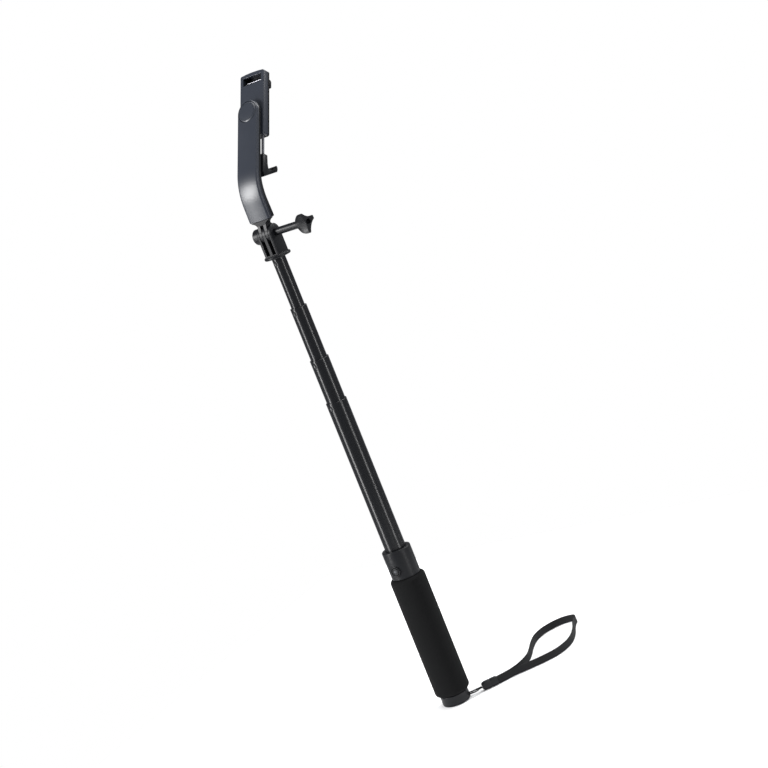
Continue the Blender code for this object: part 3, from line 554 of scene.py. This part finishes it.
def build_collar():
    edge = 1.0
    top = [(COLLAR_RADIUS - edge + edge * cos(radians(a)),
            COLLAR_TOP - edge + edge * sin(radians(a)))
           for a in range(0, 91, 10)]
    collar = turned(
        "collar",
        [(CORE_RADIUS + GAP, COLLAR_BOTTOM), (COLLAR_RADIUS - 0.4, COLLAR_BOTTOM),
         (COLLAR_RADIUS, COLLAR_BOTTOM + 0.4), *top, (SOCKET_RADIUS, COLLAR_TOP),
         (SOCKET_RADIUS, COLLAR_STEP), (CORE_RADIUS + GAP, COLLAR_STEP)],
        handle_frame, SHOWN, looped=True,
    )
    hole = spindle("cutter_button_hole", "Y",
                   [(BEZEL_RADIUS + GAP, -4.0), (BEZEL_RADIUS + GAP, 3.0)], button_frame, count=72)
    cut(collar, hole)
    settle(collar, 0.15)


def build_shutter():
    """Button with a raised ring and a camera sign, its bezel, and the switch and board behind."""
    spindle("button_bezel", "Y",
            [(BEZEL_BORE, -0.3), (BEZEL_BORE + 0.15, -0.5), (BEZEL_BORE + 0.35, -0.6),
             (BEZEL_RADIUS - 0.35, -0.6), (BEZEL_RADIUS - 0.1, -0.5), (BEZEL_RADIUS, -0.3),
             (BEZEL_RADIUS, 1.5), (BEZEL_BORE, 1.5)],
            button_frame, SHOWN, looped=True, count=96)
    spindle("shutter_button", "Y",
            [(2.55, -0.62), (2.65, -0.82), (2.8, -0.88), (2.95, -0.82), (3.08, -0.6),
             (BUTTON_RADIUS, -0.4), (BUTTON_RADIUS, 1.25)],
            button_frame, SHOWN, count=96)
    sign_bar("camera_sign_body", (-1.3, -0.8), (1.3, 0.85))
    sign_bar("camera_sign_hump", (-0.5, 0.8), (0.5, 1.2))
    lens = [along("Y", circle(r, y, 40, (0.0, 0.0))) for r, y in ((0.62, -0.7), (0.62, -0.86))]
    made = body("camera_sign_lens", lens, button_frame)
    dress(made, "slate_plastic", "button")
    spindle("dome_switch", "Y", [(1.4, 1.85), (2.1, 2.1), (2.1, 2.25)],
            button_frame, SHOWN, count=40)
    box("circuit_board", (-4.0, 2.55, -4.9), (4.0, 3.15, 6.9), button_frame, SHOWN, 0.1)


def sign_bar(name, low, high):
    """One pale raised block of the button's sign, on the button's face."""
    made = box(name, (low[0], -0.78, low[1]), (high[0], -0.55, high[1]), button_frame,
               round_edges=0.06)
    dress(made, "slate_plastic", "button")


def build_power():
    turned("battery_cell",
           [(CELL_RADIUS - 0.5, CELL_BOTTOM), (CELL_RADIUS, CELL_BOTTOM + 0.5),
            (CELL_RADIUS, CELL_TOP - 0.5), (CELL_RADIUS - 0.5, CELL_TOP), (2.5, CELL_TOP),
            (2.5, CELL_TOP + 1.2)],
           handle_frame, SHOWN, count=72)
    turns, low, high = 3.5, 20.7, 23.4
    steps = int(turns * 24)
    coil = []
    for i in range(steps + 1):
        part = i / steps
        radius = 5.6 - 2.4 * part
        angle = 2 * pi * turns * part
        coil.append((radius * cos(angle), radius * sin(angle), low + (high - low) * part))
    wire("battery_spring", coil, 0.3, handle_frame, SHOWN, sides=3)


# ---------------------------------------------------------------- telescopic tubes

def keyed_ring(radius, height):
    """A circle with the shallow key groove on its +X side, the same depth on every tube."""
    points = []
    edge = GROOVE_HALF_WIDTH / radius
    angles = [edge + (2 * pi - 2 * edge) * i / SEGMENTS for i in range(SEGMENTS + 1)]
    angles += [edge * k / 5 for k in (-4, -3, -2, -1, 0, 1, 2, 3, 4)]
    for angle in angles:
        offset = atan2(sin(angle), cos(angle)) / edge
        depth = GROOVE_DEPTH * (0.5 + 0.5 * cos(pi * offset)) if abs(offset) < 1 else 0.0
        points.append(((radius - depth) * cos(angle), (radius - depth) * sin(angle), height))
    return points


def tube(name, radius, length, parent, lip_bore):
    """A thin tube whose mouth is rolled in to lip_bore, with two small crimps below it, near -Y and +Y."""
    bore = radius - TUBE_WALL
    outside = [length * i / 12 for i in range(12)]
    outside += [length - 8.0 + 0.5 * i for i in range(15)]
    outside = sorted(z for z in outside if z < length - 0.7)
    profile = [(radius, z) for z in outside]
    for degrees in range(0, 91, 15):
        profile.append((radius - 0.3 + LIP_ROUND * cos(radians(degrees)),
                        length - LIP_ROUND + LIP_ROUND * sin(radians(degrees))))
    profile += [(lip_bore + 0.1, length), (lip_bore, length - 0.2), (lip_bore, length - 1.2),
                (bore, length - 1.8), (bore, 0.0)]
    rings = [keyed_ring(r, z) for r, z in profile]
    for ring in rings[:len(outside)]:
        for i, (x, y, z) in enumerate(ring):
            press = crimp_depth(atan2(y, x), z - (length - CRIMP_DROP), radius)
            ring[i] = (x * (1 - press / radius), y * (1 - press / radius), z)
    return body(name, rings, parent, SHOWN, looped=True)


def crimp_depth(angle, height, radius):
    """How far a crimp presses the tube's skin in, at an angle and a height from its centre."""
    half_width, half_height, deepest = 1.5, 1.9, 0.3
    depth = 0.0
    for centre in (radians(-98.0), radians(82.0)):
        across = (angle - centre) * radius
        reach = (across / half_width) ** 2 + (height / half_height) ** 2
        if reach < 1.0:
            depth = deepest * (1.0 - reach) ** 0.5
    return depth


def end_plug(name, tube_radius, guide_radius, parent):
    """The foot of a tube: a stub inside it and a wider pad that runs in the next tube out."""
    inside = tube_radius - TUBE_WALL - GAP
    pad = guide_radius - TUBE_WALL - GAP
    profile = [(1.6, -PLUG_FOOT), (pad - 0.3, -PLUG_FOOT), (pad, -PLUG_FOOT + 0.3), (pad, -GAP),
               (inside, -GAP), (inside, PLUG_DEPTH), (1.6, PLUG_DEPTH)]
    rings = [keyed_ring(r, z) for r, z in profile]
    return body(name, rings, parent, SHOWN, looped=True)


def build_tubes():
    base = BASE @ place((0, 0, OUTER_TUBE_BOTTOM))
    tube("outer_tube", TUBE_RADII[0], OUTER_TUBE_TOP - OUTER_TUBE_BOTTOM, base,
         TUBE_RADII[1] + GAP)
    end_plug("tube_base_plug", TUBE_RADII[0], TUBE_RADII[0] + TUBE_WALL - 0.1, base)
    for i, (top, bottom) in enumerate(zip(TUBE_TOPS, TUBE_BOTTOMS)):
        radius = TUBE_RADII[i + 1]
        inner = TUBE_RADII[i + 2] + GAP if i < 2 else radius - TUBE_WALL - 0.02
        tube(f"sliding_tube_{i + 2}", radius, top - bottom, tube_frames[i], inner)
        end_plug(f"end_plug_{i + 2}", radius, TUBE_RADII[i], tube_frames[i])


# ---------------------------------------------------------------- folding head

def build_head_mount():
    drop = HINGE_HEIGHT - FLANGE_TOP
    spigot = TUBE_RADII[3] - TUBE_WALL - GROOVE_DEPTH - GAP
    thick = FLANGE_TOP - FLANGE_BOTTOM
    mount = turned(
        "head_mount",
        [(spigot - 0.5, -drop - thick - 15.0), (spigot, -drop - thick - 14.5),
         (spigot, -drop - thick), (FLANGE_RADIUS - 0.5, -drop - thick),
         (FLANGE_RADIUS, -drop - thick + 0.5), (FLANGE_RADIUS, -drop - 0.5),
         (FLANGE_RADIUS - 0.5, -drop)],
        hinge_frame, SHOWN,
    )
    foot = -drop - 1.0
    outline = [(-PRONG_RADIUS, foot), (PRONG_RADIUS, foot),
               *arc((0, 0), PRONG_RADIUS, 0, 180, 60)]
    block = side_prism("join_prongs", outline, STACK_HALF, hinge_frame, round_edges=0.4)
    boss = spindle("join_nut_boss", "X",
                   [(BOSS_RADIUS - 1.0, -STACK_HALF - BOSS_LENGTH),
                    (BOSS_RADIUS, -STACK_HALF - BOSS_LENGTH + 1.0), (BOSS_RADIUS, -STACK_HALF + 1.0)],
                   hinge_frame, count=72)
    weld(mount, block, boss)
    slots = []
    for side in (-1, 1):
        inner = MIDDLE_PRONG / 2
        edges = sorted((side * inner, side * (inner + SLOT)))
        slots.append(box(f"cutter_slot_{'left' if side < 0 else 'right'}",
                         (edges[0], -9.0, -drop + 1.2), (edges[1], 9.0, 9.0), hinge_frame))
    bore = spindle("cutter_hinge_bore", "X", [(BOLT_HOLE, -15.0), (BOLT_HOLE, 15.0)], hinge_frame)
    seat = spindle("cutter_nut_seat", "X", [(NUT_RADIUS + GAP, -15.0), (NUT_RADIUS + GAP, -9.1)],
                   hinge_frame, count=6)
    cut(mount, *slots, bore, seat)
    settle(mount, 0.3)
    spindle("captive_nut", "X",
            [(NUT_BORE, -12.4), (NUT_RADIUS, -12.4), (NUT_RADIUS, -9.4), (NUT_BORE, -9.4)],
            hinge_frame, SHOWN, looped=True, count=6)


def knob_ring(flare, place):
    """The three-cornered star's outline across X; flare 0 is the round neck and 1 the full star."""
    count = 144
    points = []
    for i in range(count):
        angle = 2 * pi * i / count
        offset = (angle - KNOB_PHASE) % (2 * pi / 3) - pi / 3
        across = KNOB_HOLLOW_CENTRE * sin(offset)
        star = KNOB_TIP
        if abs(across) < KNOB_HOLLOW:
            side = KNOB_HOLLOW_CENTRE * cos(offset) - (KNOB_HOLLOW ** 2 - across ** 2) ** 0.5
            star = min(side, KNOB_TIP)
        radius = KNOB_NECK + flare * (star - KNOB_NECK)
        points.append((place, radius * cos(angle), radius * sin(angle)))
    return points


def build_thumbscrew():
    spindle("thumbscrew_bolt", "X",
            [(BOLT_RADIUS - 0.4, -12.9), (BOLT_RADIUS, -12.5), (BOLT_RADIUS, 21.7)],
            hinge_frame, SHOWN)
    star = [(0.0, KNOB_START), (0.12, KNOB_START + 0.25), (0.28, KNOB_START + 0.9),
            (0.45, KNOB_START + 1.6), (0.66, KNOB_START + 2.7), (0.85, KNOB_START + 4.0),
            (0.95, KNOB_START + 5.2), (1.0, KNOB_START + 6.5), (1.0, KNOB_END - 0.5),
            (0.98, KNOB_END - 0.15), (0.93, KNOB_END)]
    knob = body("thumbscrew_knob", [knob_ring(s, x) for s, x in star], hinge_frame, SHOWN)
    shaft = spindle("join_knob_shaft", "X",
                    [(SHAFT_RADIUS - 0.3, STACK_HALF + GAP), (SHAFT_RADIUS, STACK_HALF + GAP + 0.3),
                     (SHAFT_RADIUS, KNOB_START + 1.5)],
                    hinge_frame, count=96)
    weld(knob, shaft)
    bore = spindle("cutter_knob_bore", "X", [(BOLT_HOLE, 0.0), (BOLT_HOLE, 22.0)], hinge_frame)
    recess = []
    for place, scale in ((KNOB_END - 3.0, 0.82), (KNOB_END + 1.0, 1.0)):
        recess.append([(place, 3.6 * scale * cos(a), 2.3 * scale * sin(a))
                       for a in (2 * pi * i / 64 for i in range(64))])
    cut(knob, bore, body("cutter_knob_recess", recess, hinge_frame))
    settle(knob, 0.25)


# ---------------------------------------------------------------- arm

def arm_stations():
    """Stations down the parting line: centre (y, z), lean, half width and blend 0 top to 1 foot."""
    up = (sin(LEAN), cos(LEAN))
    reach = ARM_BEND * tan(LEAN / 2)
    stations = []
    for degrees in (8, 14, 20, 27, 34, 42, 50, 58, 66, 74, 82, 90):
        along_up = ARM_HALF_WIDTH * cos(radians(degrees))
        centre = (PIVOT_ON_SEAM[0] + along_up * up[0], PIVOT_ON_SEAM[1] + along_up * up[1])
        stations.append((centre, LEAN, ARM_HALF_WIDTH * sin(radians(degrees)), 0.0))
    straight = ARM_UPPER - reach
    for part in (0.15, 0.3, 0.45, 0.6, 0.75, 0.9):
        centre = (PIVOT_ON_SEAM[0] - straight * part * up[0],
                  PIVOT_ON_SEAM[1] - straight * part * up[1])
        stations.append((centre, LEAN, ARM_HALF_WIDTH, 0.25 * part))
    hub = (ARM_SETBACK + ARM_BEND, ARM_LOWER - reach)
    steps = 20
    for i in range(steps + 1):
        lean = LEAN * (1 - i / steps)
        centre = (hub[0] - ARM_BEND * cos(lean), hub[1] + ARM_BEND * sin(lean))
        stations.append((centre, lean, ARM_HALF_WIDTH, 0.25 + 0.6 * i / steps))
    for rise, inset in ((0.8, 0.0), (0.25, 0.25), (0.0, 0.7)):
        stations.append(((ARM_SETBACK, ARM_FOOT + rise), 0.0, ARM_HALF_WIDTH - inset, 1.0))
    return stations


def arm_shell(name, at, shown, front):
    """One half of the arm: the crowned front cover or the flatter back frame."""
    rings = []
    sign = -1.0 if front else 1.0
    for (y, z), lean, half, blend in arm_stations():
        depth = 2.4 + 1.15 * blend if front else 2.5 + 1.7 * blend
        crown = 0.4 * half / ARM_HALF_WIDTH if front else 0.0
        corner = min(2.1 if front else 1.1, 0.42 * half)
        section = [(-half + 0.12, GAP / 2), (-half, GAP / 2 + 0.15)]
        for degrees in range(0, 91, 15):
            section.append((-half + corner - corner * cos(radians(degrees)),
                            depth - corner + corner * sin(radians(degrees))))
        flat = half - corner
        for part in (0.8, 0.6, 0.4, 0.2, 0.0):
            section.append((-flat * part, depth + crown * (1 - part * part)))
        section += [(-x, d) for x, d in reversed(section[:-1])]
        out = (cos(lean), -sin(lean))
        rings.append([(x, y + sign * d * out[0], z + sign * d * out[1]) for x, d in section])
    return body(name, rings, at, shown)


def build_arm():
    frame_piece = arm_shell("arm_frame", hinge_frame, SHOWN, front=False)
    cover = arm_shell("arm_cover", hinge_frame, SHOWN, front=True)
    back, front = 2.0, -5.4
    neck = []
    for height, half in ((8.7, 4.5), (9.8, 5.0), (11.0, 6.5), (12.2, 9.2)):
        rim = [(-half, front), (half, front), (half, back), (-half, back)]
        neck.append([(x, y, height) for x, y in rim])
    neck_block = body("join_neck", neck, hinge_frame, soft=False)
    stub = box("join_neck_root", (-8.0, ARM_SETBACK + GAP, 11.5),
               (8.0, back - 0.4, ARM_FOOT + 2.0), hinge_frame)
    tongues = []
    for side in (-1, 1):
        inner = MIDDLE_PRONG / 2 + GAP
        edges = sorted((side * inner, side * (inner + SLOT - 2 * GAP)))
        outline = [(back - 0.3, 9.6), (-5.2, 9.6),
                   *arc((0, 0), PRONG_RADIUS - 0.1, 150, 380, 60)]
        tongues.append(side_prism(f"join_tongue_{'left' if side < 0 else 'right'}", outline,
                                  tuple(edges), hinge_frame))
    weld(frame_piece, stub, neck_block, *tongues)
    bore = spindle("cutter_tongue_bore", "X", [(BOLT_HOLE, -6.0), (BOLT_HOLE, 6.0)],
                   hinge_frame)
    shank = spindle("cutter_pivot_shank", "Y", [(2.3, -13.4), (2.3, -8.0)], clamp_frame)
    head = spindle("cutter_pivot_head", "Y", [(3.9, -13.4), (3.9, -10.6)], clamp_frame)
    screws = [(-24.0, "upper"), (-45.0, "lower")]
    heads = [spindle(f"cutter_screw_head_{word}", "Y", [(2.3, -10.7), (2.3, -8.5)], clamp_frame,
                     count=40, centre=(z, 0)) for z, word in screws]
    shanks = [spindle(f"cutter_screw_shank_{word}", "Y", [(1.3, -13.5), (1.3, -9.0)], clamp_frame,
                      count=32, centre=(z, 0)) for z, word in screws]
    cut(frame_piece, bore, shank, head, *heads, *shanks)
    pocket = spindle("cutter_cap_pocket", "Y", [(9.3, -18.0), (9.3, -13.0)], clamp_frame, count=96)
    cut(cover, pocket, head, *shanks)
    settle(frame_piece, 0.2)
    settle(cover, 0.15)
    spindle("pivot_cap", "Y",
            [(0.8, -15.32), (2.4, -15.3), (4.0, -15.24), (5.6, -15.14), (6.9, -15.0), (7.15, -14.97),
             (7.25, -14.78), (7.5, -14.76), (7.6, -14.9), (8.2, -14.76), (8.7, -14.5),
             (8.95, -14.2), (9.0, -13.9), (9.0, -13.3)],
            clamp_frame, SHOWN, count=96)
    spindle("pivot_screw", "Y", [(3.1, -12.9), (3.5, -12.6), (3.5, -10.9), (2.0, -10.9),
                                 (2.0, -4.4)], clamp_frame, SHOWN)
    spindle("pivot_washer", "Y", [(2.3, -9.1), (7.0, -9.1), (7.0, -8.7), (2.3, -8.7)],
            clamp_frame, SHOWN, looped=True, count=72)
    for height, word in screws:
        spindle(f"arm_screw_{word}", "Y", [(2.0, -9.6), (2.0, -10.4), (1.0, -10.4), (1.0, -13.2)],
                clamp_frame, SHOWN, count=32, centre=(height, 0))


# ---------------------------------------------------------------- clamp

def rounded_rectangle(half, low, high, corner, rise=0.0):
    """An (x, z) outline with round corners; its top edge arches up by rise."""
    points = []
    for (cx, cz), start in (((half - corner, low + corner), -90), ((half - corner, high - corner), 0)):
        points += arc((cx, cz), corner, start, start + 90, 10)
    points += [(half * t, high + rise * (1 - t * t)) for t in (0.5, 0.0, -0.5)]
    for (cx, cz), start in (((corner - half, high - corner), 90), ((corner - half, low + corner), 180)):
        points += arc((cx, cz), corner, start, start + 90, 10)
    return points


def slab(name, outline, near, far, at, shown=False, edge=0.0):
    """An (x, z) outline extruded along Y from near to far."""
    rings = [[(x, y, z) for x, z in outline] for y in (near, far)]
    made = body(name, rings, at, shown, soft=False)
    if edge:
        bevel(made, edge)
    return made


def build_sleeve():
    outline = rounded_rectangle(SLEEVE_HALF, SLEEVE_BOTTOM, SLEEVE_TOP, 1.6, 0.7)
    sleeve = slab("clamp_sleeve", outline, SLEEVE_FRONT, SLEEVE_BACK, clamp_frame,
                  SHOWN, 0.5)
    hollow = box("cutter_sleeve_hollow",
                 (-SLEEVE_HALF + 1.5, SLEEVE_FRONT + SLEEVE_WALL, SLEEVE_BOTTOM + 1.5),
                 (SLEEVE_HALF - 1.5, 0.0, SLEEVE_TOP - 1.5), clamp_frame)
    window = box("cutter_window", (-WINDOW_HALF, -10.0, WINDOW_LOW), (WINDOW_HALF, -5.0, WINDOW_HIGH),
                 clamp_frame)
    shank = spindle("cutter_sleeve_shank", "Y", [(2.3, -10.0), (2.3, -5.0)], clamp_frame)
    rods = [turned(f"cutter_rod_hole_{word}", [(ROD_RADIUS + GAP, -22.0), (ROD_RADIUS + GAP, -17.0)],
                   clamp_frame, count=40, centre=(x, MECHANISM_DEPTH))
            for x, word in both_sides(ROD_OFFSET)]
    cut(sleeve, hollow, window, shank, *rods)
    settle(sleeve, 0.2)
    plate = slab("clamp_back_plate", outline, PLATE_FRONT, PLATE_BACK, clamp_frame,
                 SHOWN)
    hook_outline = [(-1.5, HOOK_LOW), (7.8, HOOK_LOW), (7.8, 28.6), (8.2, 28.2), (8.9, 28.4),
                    (9.3, 29.2), (9.3, HOOK_HIGH - 1.6), (8.6, HOOK_HIGH - 0.5),
                    (7.4, HOOK_HIGH), (-1.5, HOOK_HIGH)]
    hook = side_prism("join_upper_hook", hook_outline, HOOK_HALF, clamp_frame)
    weld(plate, hook)
    settle(plate, 0.3)
    hook_pad = side_prism("upper_jaw_pad", [(0.4, HOOK_LOW - 1.1), (7.4, HOOK_LOW - 1.1),
                                            (7.4, HOOK_LOW - GAP), (0.4, HOOK_LOW - GAP)],
                          HOOK_HALF - 0.4, clamp_frame, SHOWN)
    soften(hook_pad, PAD_EDGE)
    back_pad = slab("back_pad", rounded_rectangle(9.0, -16.0, 26.0, 1.5), -0.6, 0.0, clamp_frame,
                    SHOWN)
    soften(back_pad, PAD_EDGE)
    spindle("spring_anchor_pin", "X",
            [(0.55, -10.7), (0.55, 10.7)], clamp_frame, SHOWN, count=40,
            centre=(MECHANISM_DEPTH, ANCHOR_HEIGHT))
    spindle("pivot_nut", "Y", [(2.3, -6.7), (4.0, -6.7), (4.0, -4.4), (2.3, -4.4)],
            clamp_frame, SHOWN, looped=True, count=48)


def build_springs():
    """Two tension springs hung from the anchor pin; each ends on top of its guide rod."""
    low, high = ROD_TOP + 0.5, ANCHOR_HEIGHT - 1.3
    steps = SPRING_TURNS * 20
    for x, word in both_sides(ROD_OFFSET):
        coil = []
        for i in range(steps + 1):
            angle = 2 * pi * i / 20
            coil.append((x + SPRING_RADIUS * cos(angle),
                         MECHANISM_DEPTH + SPRING_RADIUS * sin(angle),
                         low + (high - low) * i / steps))
        wire(f"tension_spring_{word}", coil, SPRING_WIRE, clamp_frame, SHOWN, sides=3)


def build_lower_jaw():
    outline = [(-7.4, RISER_TOP), (-2.0, RISER_TOP), (-1.6, -45.0), (-0.6, SHELF),
               (7.2, SHELF), (8.0, -46.2), (8.6, -43.2), (9.6, -42.6), (10.6, -43.4),
               (11.0, -45.6), (10.4, -47.8), (-3.8, -56.0), (-5.4, -56.8), (-7.4, -53.6)]
    jaw = side_prism("lower_jaw", outline, JAW_HALF, clamp_frame, SHOWN, 0.35)
    seats = []
    for x, word in both_sides(ROD_OFFSET):
        place = (x, MECHANISM_DEPTH)
        seats.append(turned(f"cutter_rod_seat_{word}",
                            [(ROD_RADIUS + GAP, ROD_FOOT - GAP), (ROD_RADIUS + GAP, RISER_TOP + 1.0)],
                            clamp_frame, count=40, centre=place))
        turned(f"guide_rod_{word}",
               [(ROD_RADIUS - 0.2, ROD_FOOT), (ROD_RADIUS, ROD_FOOT + 0.2),
                (ROD_RADIUS, ROD_TOP - 0.3), (ROD_RADIUS - 0.3, ROD_TOP)],
               clamp_frame, SHOWN, count=40, centre=place)
    cut(jaw, *seats)
    settle(jaw, 0.25)
    jaw_pad = box("lower_jaw_pad", (-JAW_HALF + 1.0, 0.0, SHELF + GAP),
                  (JAW_HALF - 1.0, 6.6, SHELF + 1.3), clamp_frame, SHOWN)
    soften(jaw_pad, PAD_EDGE)


# ---------------------------------------------------------------- wrist strap

def build_lanyard_cord():
    """One loop of cord: from the crimp round the pin inside the cap's notch and back."""
    out = Vector((cos(LANYARD_ANGLE), sin(LANYARD_ANGLE)))
    side = Vector((-out.y, out.x))
    pin = PIN_DISTANCE * out
    heading = (CRIMP_END - CRIMP_START).normalized()
    across = Vector((-heading.y, heading.x))
    mouth = CRIMP_START - GAP * heading
    turn = [pin + CORD_TURN * (cos(radians(a)) * side - sin(radians(a)) * out)
            for a in range(0, 181, 30)]
    first = [mouth + 0.95 * across, mouth + 0.95 * across - 2.5 * heading, Vector((14.2, 9.6)),
             pin + CORD_TURN * side + 3.0 * out]
    last = [pin - CORD_TURN * side + 3.0 * out, Vector((16.6, 5.6)), Vector((18.0, 8.4)),
            mouth - 0.95 * across - 2.5 * heading, mouth - 0.95 * across]
    route = smooth_route([*first, *turn, *last], 0.6)
    made = wire("lanyard_cord", [(p.x, p.y, CORD_HEIGHT) for p in route], CORD_RADIUS,
                handle_frame, SHOWN, sides=5)


def build_crimp():
    heading = (CRIMP_END - CRIMP_START).normalized()
    length = (CRIMP_END - CRIMP_START).length
    at = (BASE @ place((CRIMP_START.x, CRIMP_START.y, 0.0))
          @ Matrix.Rotation(atan2(heading.y, heading.x), 4, "Z"))
    half = CRIMP_THICKNESS / 2
    rings = []
    for part, scale in ((0.0, 0.62), (0.02, 0.72), (0.06, 0.84), (0.12, 0.94), (0.2, 1.0), (0.5, 1.0),
                        (0.53, 0.95), (0.56, 0.95), (0.59, 1.0), (0.92, 1.0), (0.97, 0.96), (1.0, 0.9)):
        drop = 0.5 * CRIMP_HEIGHT * (1.0 - scale)
        outline = rounded_rectangle(half * scale, drop, CRIMP_HEIGHT - drop, 1.0)
        rings.append([(length * part, x, z) for x, z in outline])
    return body("strap_crimp", rings, at, SHOWN)


def build_webbing():
    """The flat strap standing on its edge, with rolled edges."""
    route = smooth_route(STRAP_ROUTE, 0.9)
    half, thick = STRAP_WIDTH / 2, STRAP_THICKNESS / 2
    section = []
    for side in (1, -1):
        for degrees in range(-60, 61, 20):
            section.append((side * half - side * 0.5 + side * 0.5 * cos(radians(degrees)),
                            side * thick * 0.92 * sin(radians(degrees)) / sin(radians(60))))
    rings, length = [], 0.0
    for i, point in enumerate(route):
        ahead = route[min(i + 1, len(route) - 1)] - route[max(i - 1, 0)]
        across = Vector((-ahead.y, ahead.x)).normalized()
        length += (point - route[i - 1]).length if i else 0.0
        rib = 1.0 + 0.05 * sin(length * 2.6)
        rings.append([(point.x + across.x * t * rib, point.y + across.y * t * rib, half + h)
                      for h, t in section])
    made = body("strap_webbing", rings, handle_frame, SHOWN)


def build_strap():
    crimp = build_crimp()
    build_lanyard_cord()
    build_webbing()


# ---------------------------------------------------------------- light and floor

def build_stage():
    """A pale floor under the end cap, large soft lights round the stick and a white studio."""
    below_cap, half = 0.0002, 0.4
    low = -GRIP_CENTRE * MM - below_cap
    corners = [(-half, -half, low), (half, -half, low), (half, half, low), (-half, half, low)]
    mesh = bpy.data.meshes.new("floor")
    mesh.from_pydata(corners, [], [(0, 1, 2, 3)])
    floor = bpy.data.objects.new("floor", mesh)
    bpy.context.scene.collection.objects.link(floor)
    mesh.materials.append(finish_with("floor_finish", Look((0.94, 0.94, 0.94), (0.97, 0.97, 0.97),
                                                           0.8, 0.03, bump=0.0, shine=0.2)))
    aim = Vector((0.0, 0.02, 0.2))
    for name, spot, size, power in (
        ("key_light", (-1.05, -1.35, 0.95), (0.42, 0.7), 42.0),
        ("pole_strip", (-1.05, -1.30, 0.05), (0.30, 1.0), 13.0),
        ("fill_light", (1.5, -1.0, 1.1), (0.7, 1.0), 7.0),
        ("rim_light", (0.9, 1.3, 1.3), (0.5, 1.4), 26.0),
        ("edge_strip", (1.35, -0.2, 0.3), (0.12, 1.5), 8.0),
        ("floor_light", (0.2, 0.3, 1.9), (1.2, 1.2), 24.0),
    ):
        data = bpy.data.lights.new(name, "AREA")
        data.shape = "RECTANGLE"
        data.energy = power
        data.size, data.size_y = size
        lamp = bpy.data.objects.new(name, data)
        lamp.location = spot
        lamp.rotation_euler = (aim - Vector(spot)).to_track_quat("-Z", "Y").to_euler()
        bpy.context.scene.collection.objects.link(lamp)
    world = bpy.data.worlds.new("studio")
    world.use_nodes = True
    nodes, links = world.node_tree.nodes, world.node_tree.links
    seen = nodes["Background"]
    seen.inputs["Color"].default_value = (1.0, 1.0, 1.0, 1.0)
    seen.inputs["Strength"].default_value = 1.0
    lit = nodes.new("ShaderNodeBackground")
    lit.inputs["Color"].default_value = (0.93, 0.95, 1.0, 1.0)
    lit.inputs["Strength"].default_value = 0.28
    ray = nodes.new("ShaderNodeLightPath")
    mix = nodes.new("ShaderNodeMixShader")
    links.new(ray.outputs["Is Camera Ray"], mix.inputs["Fac"])
    links.new(lit.outputs["Background"], mix.inputs[1])
    links.new(seen.outputs["Background"], mix.inputs[2])
    links.new(mix.outputs["Shader"], nodes["World Output"].inputs["Surface"])
    bpy.context.scene.world = world
    bpy.context.scene.view_settings.view_transform = "Standard"


for build in (build_strap, build_end_cap, build_grip, build_collar, build_shutter, build_power,
              build_tubes, build_head_mount, build_thumbscrew, build_arm, build_sleeve,
              build_springs, build_lower_jaw, build_stage):
    build()

for tool in [o for o in bpy.data.objects if o.name.startswith(("cutter_", "join_"))]:
    bpy.data.objects.remove(tool)
